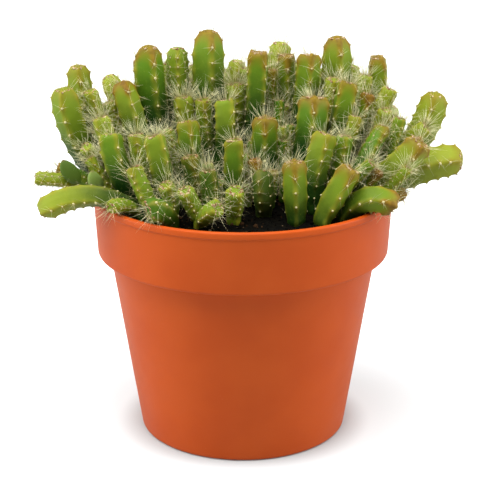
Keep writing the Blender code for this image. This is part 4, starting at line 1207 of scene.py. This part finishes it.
def kept_inside(roots, ways, lengths):
    """The lengths, cut short where a bristle would stand out past the solids' box by over the margin."""
    low = np.array(cad_box[0]) / MM - BOX_MARGIN
    high = np.array(cad_box[1]) / MM + BOX_MARGIN
    room = np.where(ways > 0, high - roots, roots - low) / np.maximum(np.abs(ways), 1e-6)
    return np.minimum(lengths, room.min(1).clip(0.5))


def bristle_points(roots, ways, lengths, thickness, bends):
    """Three points round each root, three more halfway, and one at its point, which is bent off its way."""
    circle = circles_round(ways, 3, thickness)
    halfway = roots + ways * lengths[:, None] * 0.5 + bends * 0.3
    ends = roots + ways * lengths[:, None] + bends
    return np.concatenate([roots[:, None] + circle, halfway[:, None] + circle * 0.75, ends[:, None]], 1)


def bristle_finish():
    """Reddish tan at the root and cream along the hair, dulled to straw low on the shoots: partly old
    bristles' weathering, partly painted shade deep in the clump.
    """
    finish = Finish("bristle", Roughness=0.5, Specular_IOR_Level=0.3)
    along, pale, up_the_shoot = finish.growth_and_light()[:3]
    cream = finish.mix(pale, (0.70, 0.66, 0.32, 1), (0.97, 0.94, 0.60, 1))
    # Painted shade, with some real weathering: bristles rooted low on a shoot are dulled towards straw.
    straw = finish.mix(up_the_shoot.between(0.45, 1.0), (0.23, 0.21, 0.09, 1), cream)
    finish.set(Base_Color=finish.mix(along.between(0.0, 0.22), (0.42, 0.22, 0.08, 1), straw))
    return finish.material


draw = np.random.default_rng(BRISTLE_SEED)
stars, crowns = [], []
for spot in spots:
    shoot = spot.shoot
    each = (STAR_BARE + STAR_COATED * shoot.coat) * draw.uniform(*STAR_UNEVEN, len(spot.t))
    each *= np.clip((spot.t - STARS_FROM) / STARS_FULL_AFTER, 0.12, 1)
    own = np.repeat(np.arange(len(spot.t)), np.round(each).astype(int))
    outward = spot.outward[own]
    ways = unit(star_ways(outward, draw) + STAR_UPWARD * spot.along[own])
    lengths = STAR_SHORT + (STAR_LONG - STAR_SHORT) * shoot.coat
    lengths = lengths * draw.uniform(*STAR_LENGTH_UNEVEN, len(own))
    stars.append((spot.points[own] - STAR_ROOTED * outward, ways, lengths, spot.t[own]))
for curve in bristly:
    shoot = curve.shoot
    fullness = shoot.crown * (1 - 0.6 * min(shoot.dome, 1.0)) * curve.girth / CROWN_GIRTH
    count = round((CROWN_FEW + CROWN_MORE * shoot.coat) * fullness)
    middle, out, _, along = round_the_tip(curve, count, draw)
    share = draw.uniform(*CROWN_FROM_AXIS, count)[:, None]
    roots = middle + out * share - CROWN_ROOTED * along
    upright, flat = CROWN_LEANS
    lean = np.radians(upright + (flat - upright) * share * draw.uniform(0.2, 1.1, (count, 1)))
    ways = unit(along * np.cos(lean) + unit(out) * np.sin(lean) + draw.normal(0, 0.15, (count, 3)))
    low, high = CROWN_LENGTHS
    lengths = draw.uniform(low, low + (high - low) * (0.35 + 0.65 * shoot.coat), count)
    crowns.append((roots, ways, lengths, np.ones(count)))

bristle_hair = bristle_finish()
half = len(stars) // 2
for name, tufts, radius in (
        ("bristle_stars_left", stars[:half], STAR_RADIUS),
        ("bristle_stars_right", stars[half:], STAR_RADIUS),
        ("bristle_crowns", crowns, CROWN_RADIUS)):
    roots, ways, lengths, up_the_shoot = (np.concatenate(parts) for parts in zip(*tufts))
    count = len(roots)
    lengths = kept_inside(roots, ways, lengths)
    thickness = radius * draw.uniform(0.7, 1.1, count)
    bends = draw.normal(0, HAIR_BEND, (count, 3)) * lengths[:, None] - HAIR_SAG * lengths[:, None] * UP
    points = bristle_points(roots, ways, lengths, thickness, bends)
    hair_shades = np.zeros((*points.shape[:2], 4))
    hair_shades[..., 0] = BRISTLE_ALONG
    hair_shades[..., 1] = draw.uniform(0, 1, (count, 1))
    hair_shades[..., 2] = up_the_shoot[:, None]
    piece = make_many(name, points, (BRISTLE_SIDES, BRISTLE_ENDS), hair_shades)
    piece.data.materials.append(bristle_hair)
    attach(piece, "root")


# The stage: a pale floor, a white background, and three soft light boxes, one at each side and one
# overhead.
# The floor glows to the camera alone, so that it shows white away from the pot, and its glow falls off near
# the pot as a painted contact shadow; its base is a little cyan to offset the pot's pink bounce. The front
# of the room is darker, so that the pot's middle is deeper than its sides.
FLOOR_REACH = 3000.0
FLOOR_DROP = 0.05
floor_points = FLOOR_REACH * np.array([(-1, -1, 0), (1, -1, 0), (1, 1, 0), (-1, 1, 0)])
floor = make_piece("studio_floor", floor_points - [0, 0, FLOOR_DROP], [np.array([[0, 1, 2, 3]])])
floor_finish = Finish("studio_white", Roughness=0.9, Specular_IOR_Level=0.1)
floor_finish.set(Base_Color=(0.49, 0.525, 0.53, 1))
away = Value(floor_finish.node(
    "ShaderNodeVectorMath", {"operation": "LENGTH"}, {0: floor_finish.where}, "Value"))
seen = Value(floor_finish.node("ShaderNodeLightPath", {}, {}, "Is Camera Ray"))
# Painted contact shadow: the floor's glow to the camera is low near the pot and rises to full away from it.
glow_and_painted_shadow = 0.05 + 0.40 * away.between(0.034, 0.048) + 0.55 * away.between(0.042, 0.15)
floor_finish.set(Emission_Color=floor_finish.mix(glow_and_painted_shadow * seen, (0, 0, 0, 1), (1, 1, 1, 1)))
floor_finish.set(Emission_Strength=1.0)
floor.data.materials.append(floor_finish.material)

world = bpy.data.worlds.new("white_studio")
bpy.context.scene.world = world
world.use_nodes = True
nodes = world.node_tree.nodes
sky = nodes["Background"]
parts = nodes.new("ShaderNodeSeparateXYZ")
plug(parts, parts.inputs[0], nodes.new("ShaderNodeTexCoord").outputs["Generated"])
seen = Value(nodes.new("ShaderNodeLightPath").outputs["Is Camera Ray"])
behind = Value(parts.outputs["Y"]).between(-0.8, 0.2)
plug(sky, sky.inputs["Color"], (1, 1, 1, 1))
plug(sky, sky.inputs["Strength"], seen + (1.0 - seen) * (0.165 + 0.42 * behind))
LIGHTS = (
    # name, place in m, watts, width and height of the box in m
    ("left_box", (-0.70, -0.05, 0.35), 4.4, (0.5, 0.8)),
    ("right_box", (0.70, -0.05, 0.32), 4.25, (0.5, 0.8)),
    ("top_box", (-0.1, -0.30, 0.90), 8.9, (0.7, 0.6)),
)
for name, place, power, (width, height) in LIGHTS:
    lamp = bpy.data.lights.new(name, "AREA")
    lamp.shape = "RECTANGLE"
    lamp.energy = power
    lamp.size, lamp.size_y = width, height
    box = bpy.data.objects.new(name, lamp)
    aim = np.array([0.0, 0.0, 0.09]) - np.array(place)
    box.location = place
    tilt = math.atan2(math.hypot(*aim[:2]), -aim[2])
    box.rotation_euler = (tilt, 0.0, math.atan2(aim[1], aim[0]) - math.pi / 2)
    bpy.context.scene.collection.objects.link(box)


# The camera stands where the photograph's did: a little above the clump and looking down on the rim, on a
# long lens. Its eye point is the one that the clump's rows are seen from, and its pitch is in radians.
EYE_PITCH = 0.320
PHOTO_PIXELS = 500
FOCAL_PIXELS = 1426
SHIFT_PIXELS = 7
SENSOR_WIDTH = 36.0
camera = bpy.data.objects.new("camera", bpy.data.cameras.new("camera"))
camera.location = EYE * MM
camera.rotation_euler = (math.pi / 2 - EYE_PITCH, 0.0, 0.0)
camera.data.sensor_width = SENSOR_WIDTH
camera.data.lens = SENSOR_WIDTH * (FOCAL_PIXELS / PHOTO_PIXELS)
camera.data.shift_x = SHIFT_PIXELS / PHOTO_PIXELS
camera.data.clip_start = 0.01
bpy.context.scene.collection.objects.link(camera)
bpy.context.scene.camera = camera
bpy.context.scene.view_settings.view_transform = "Standard"
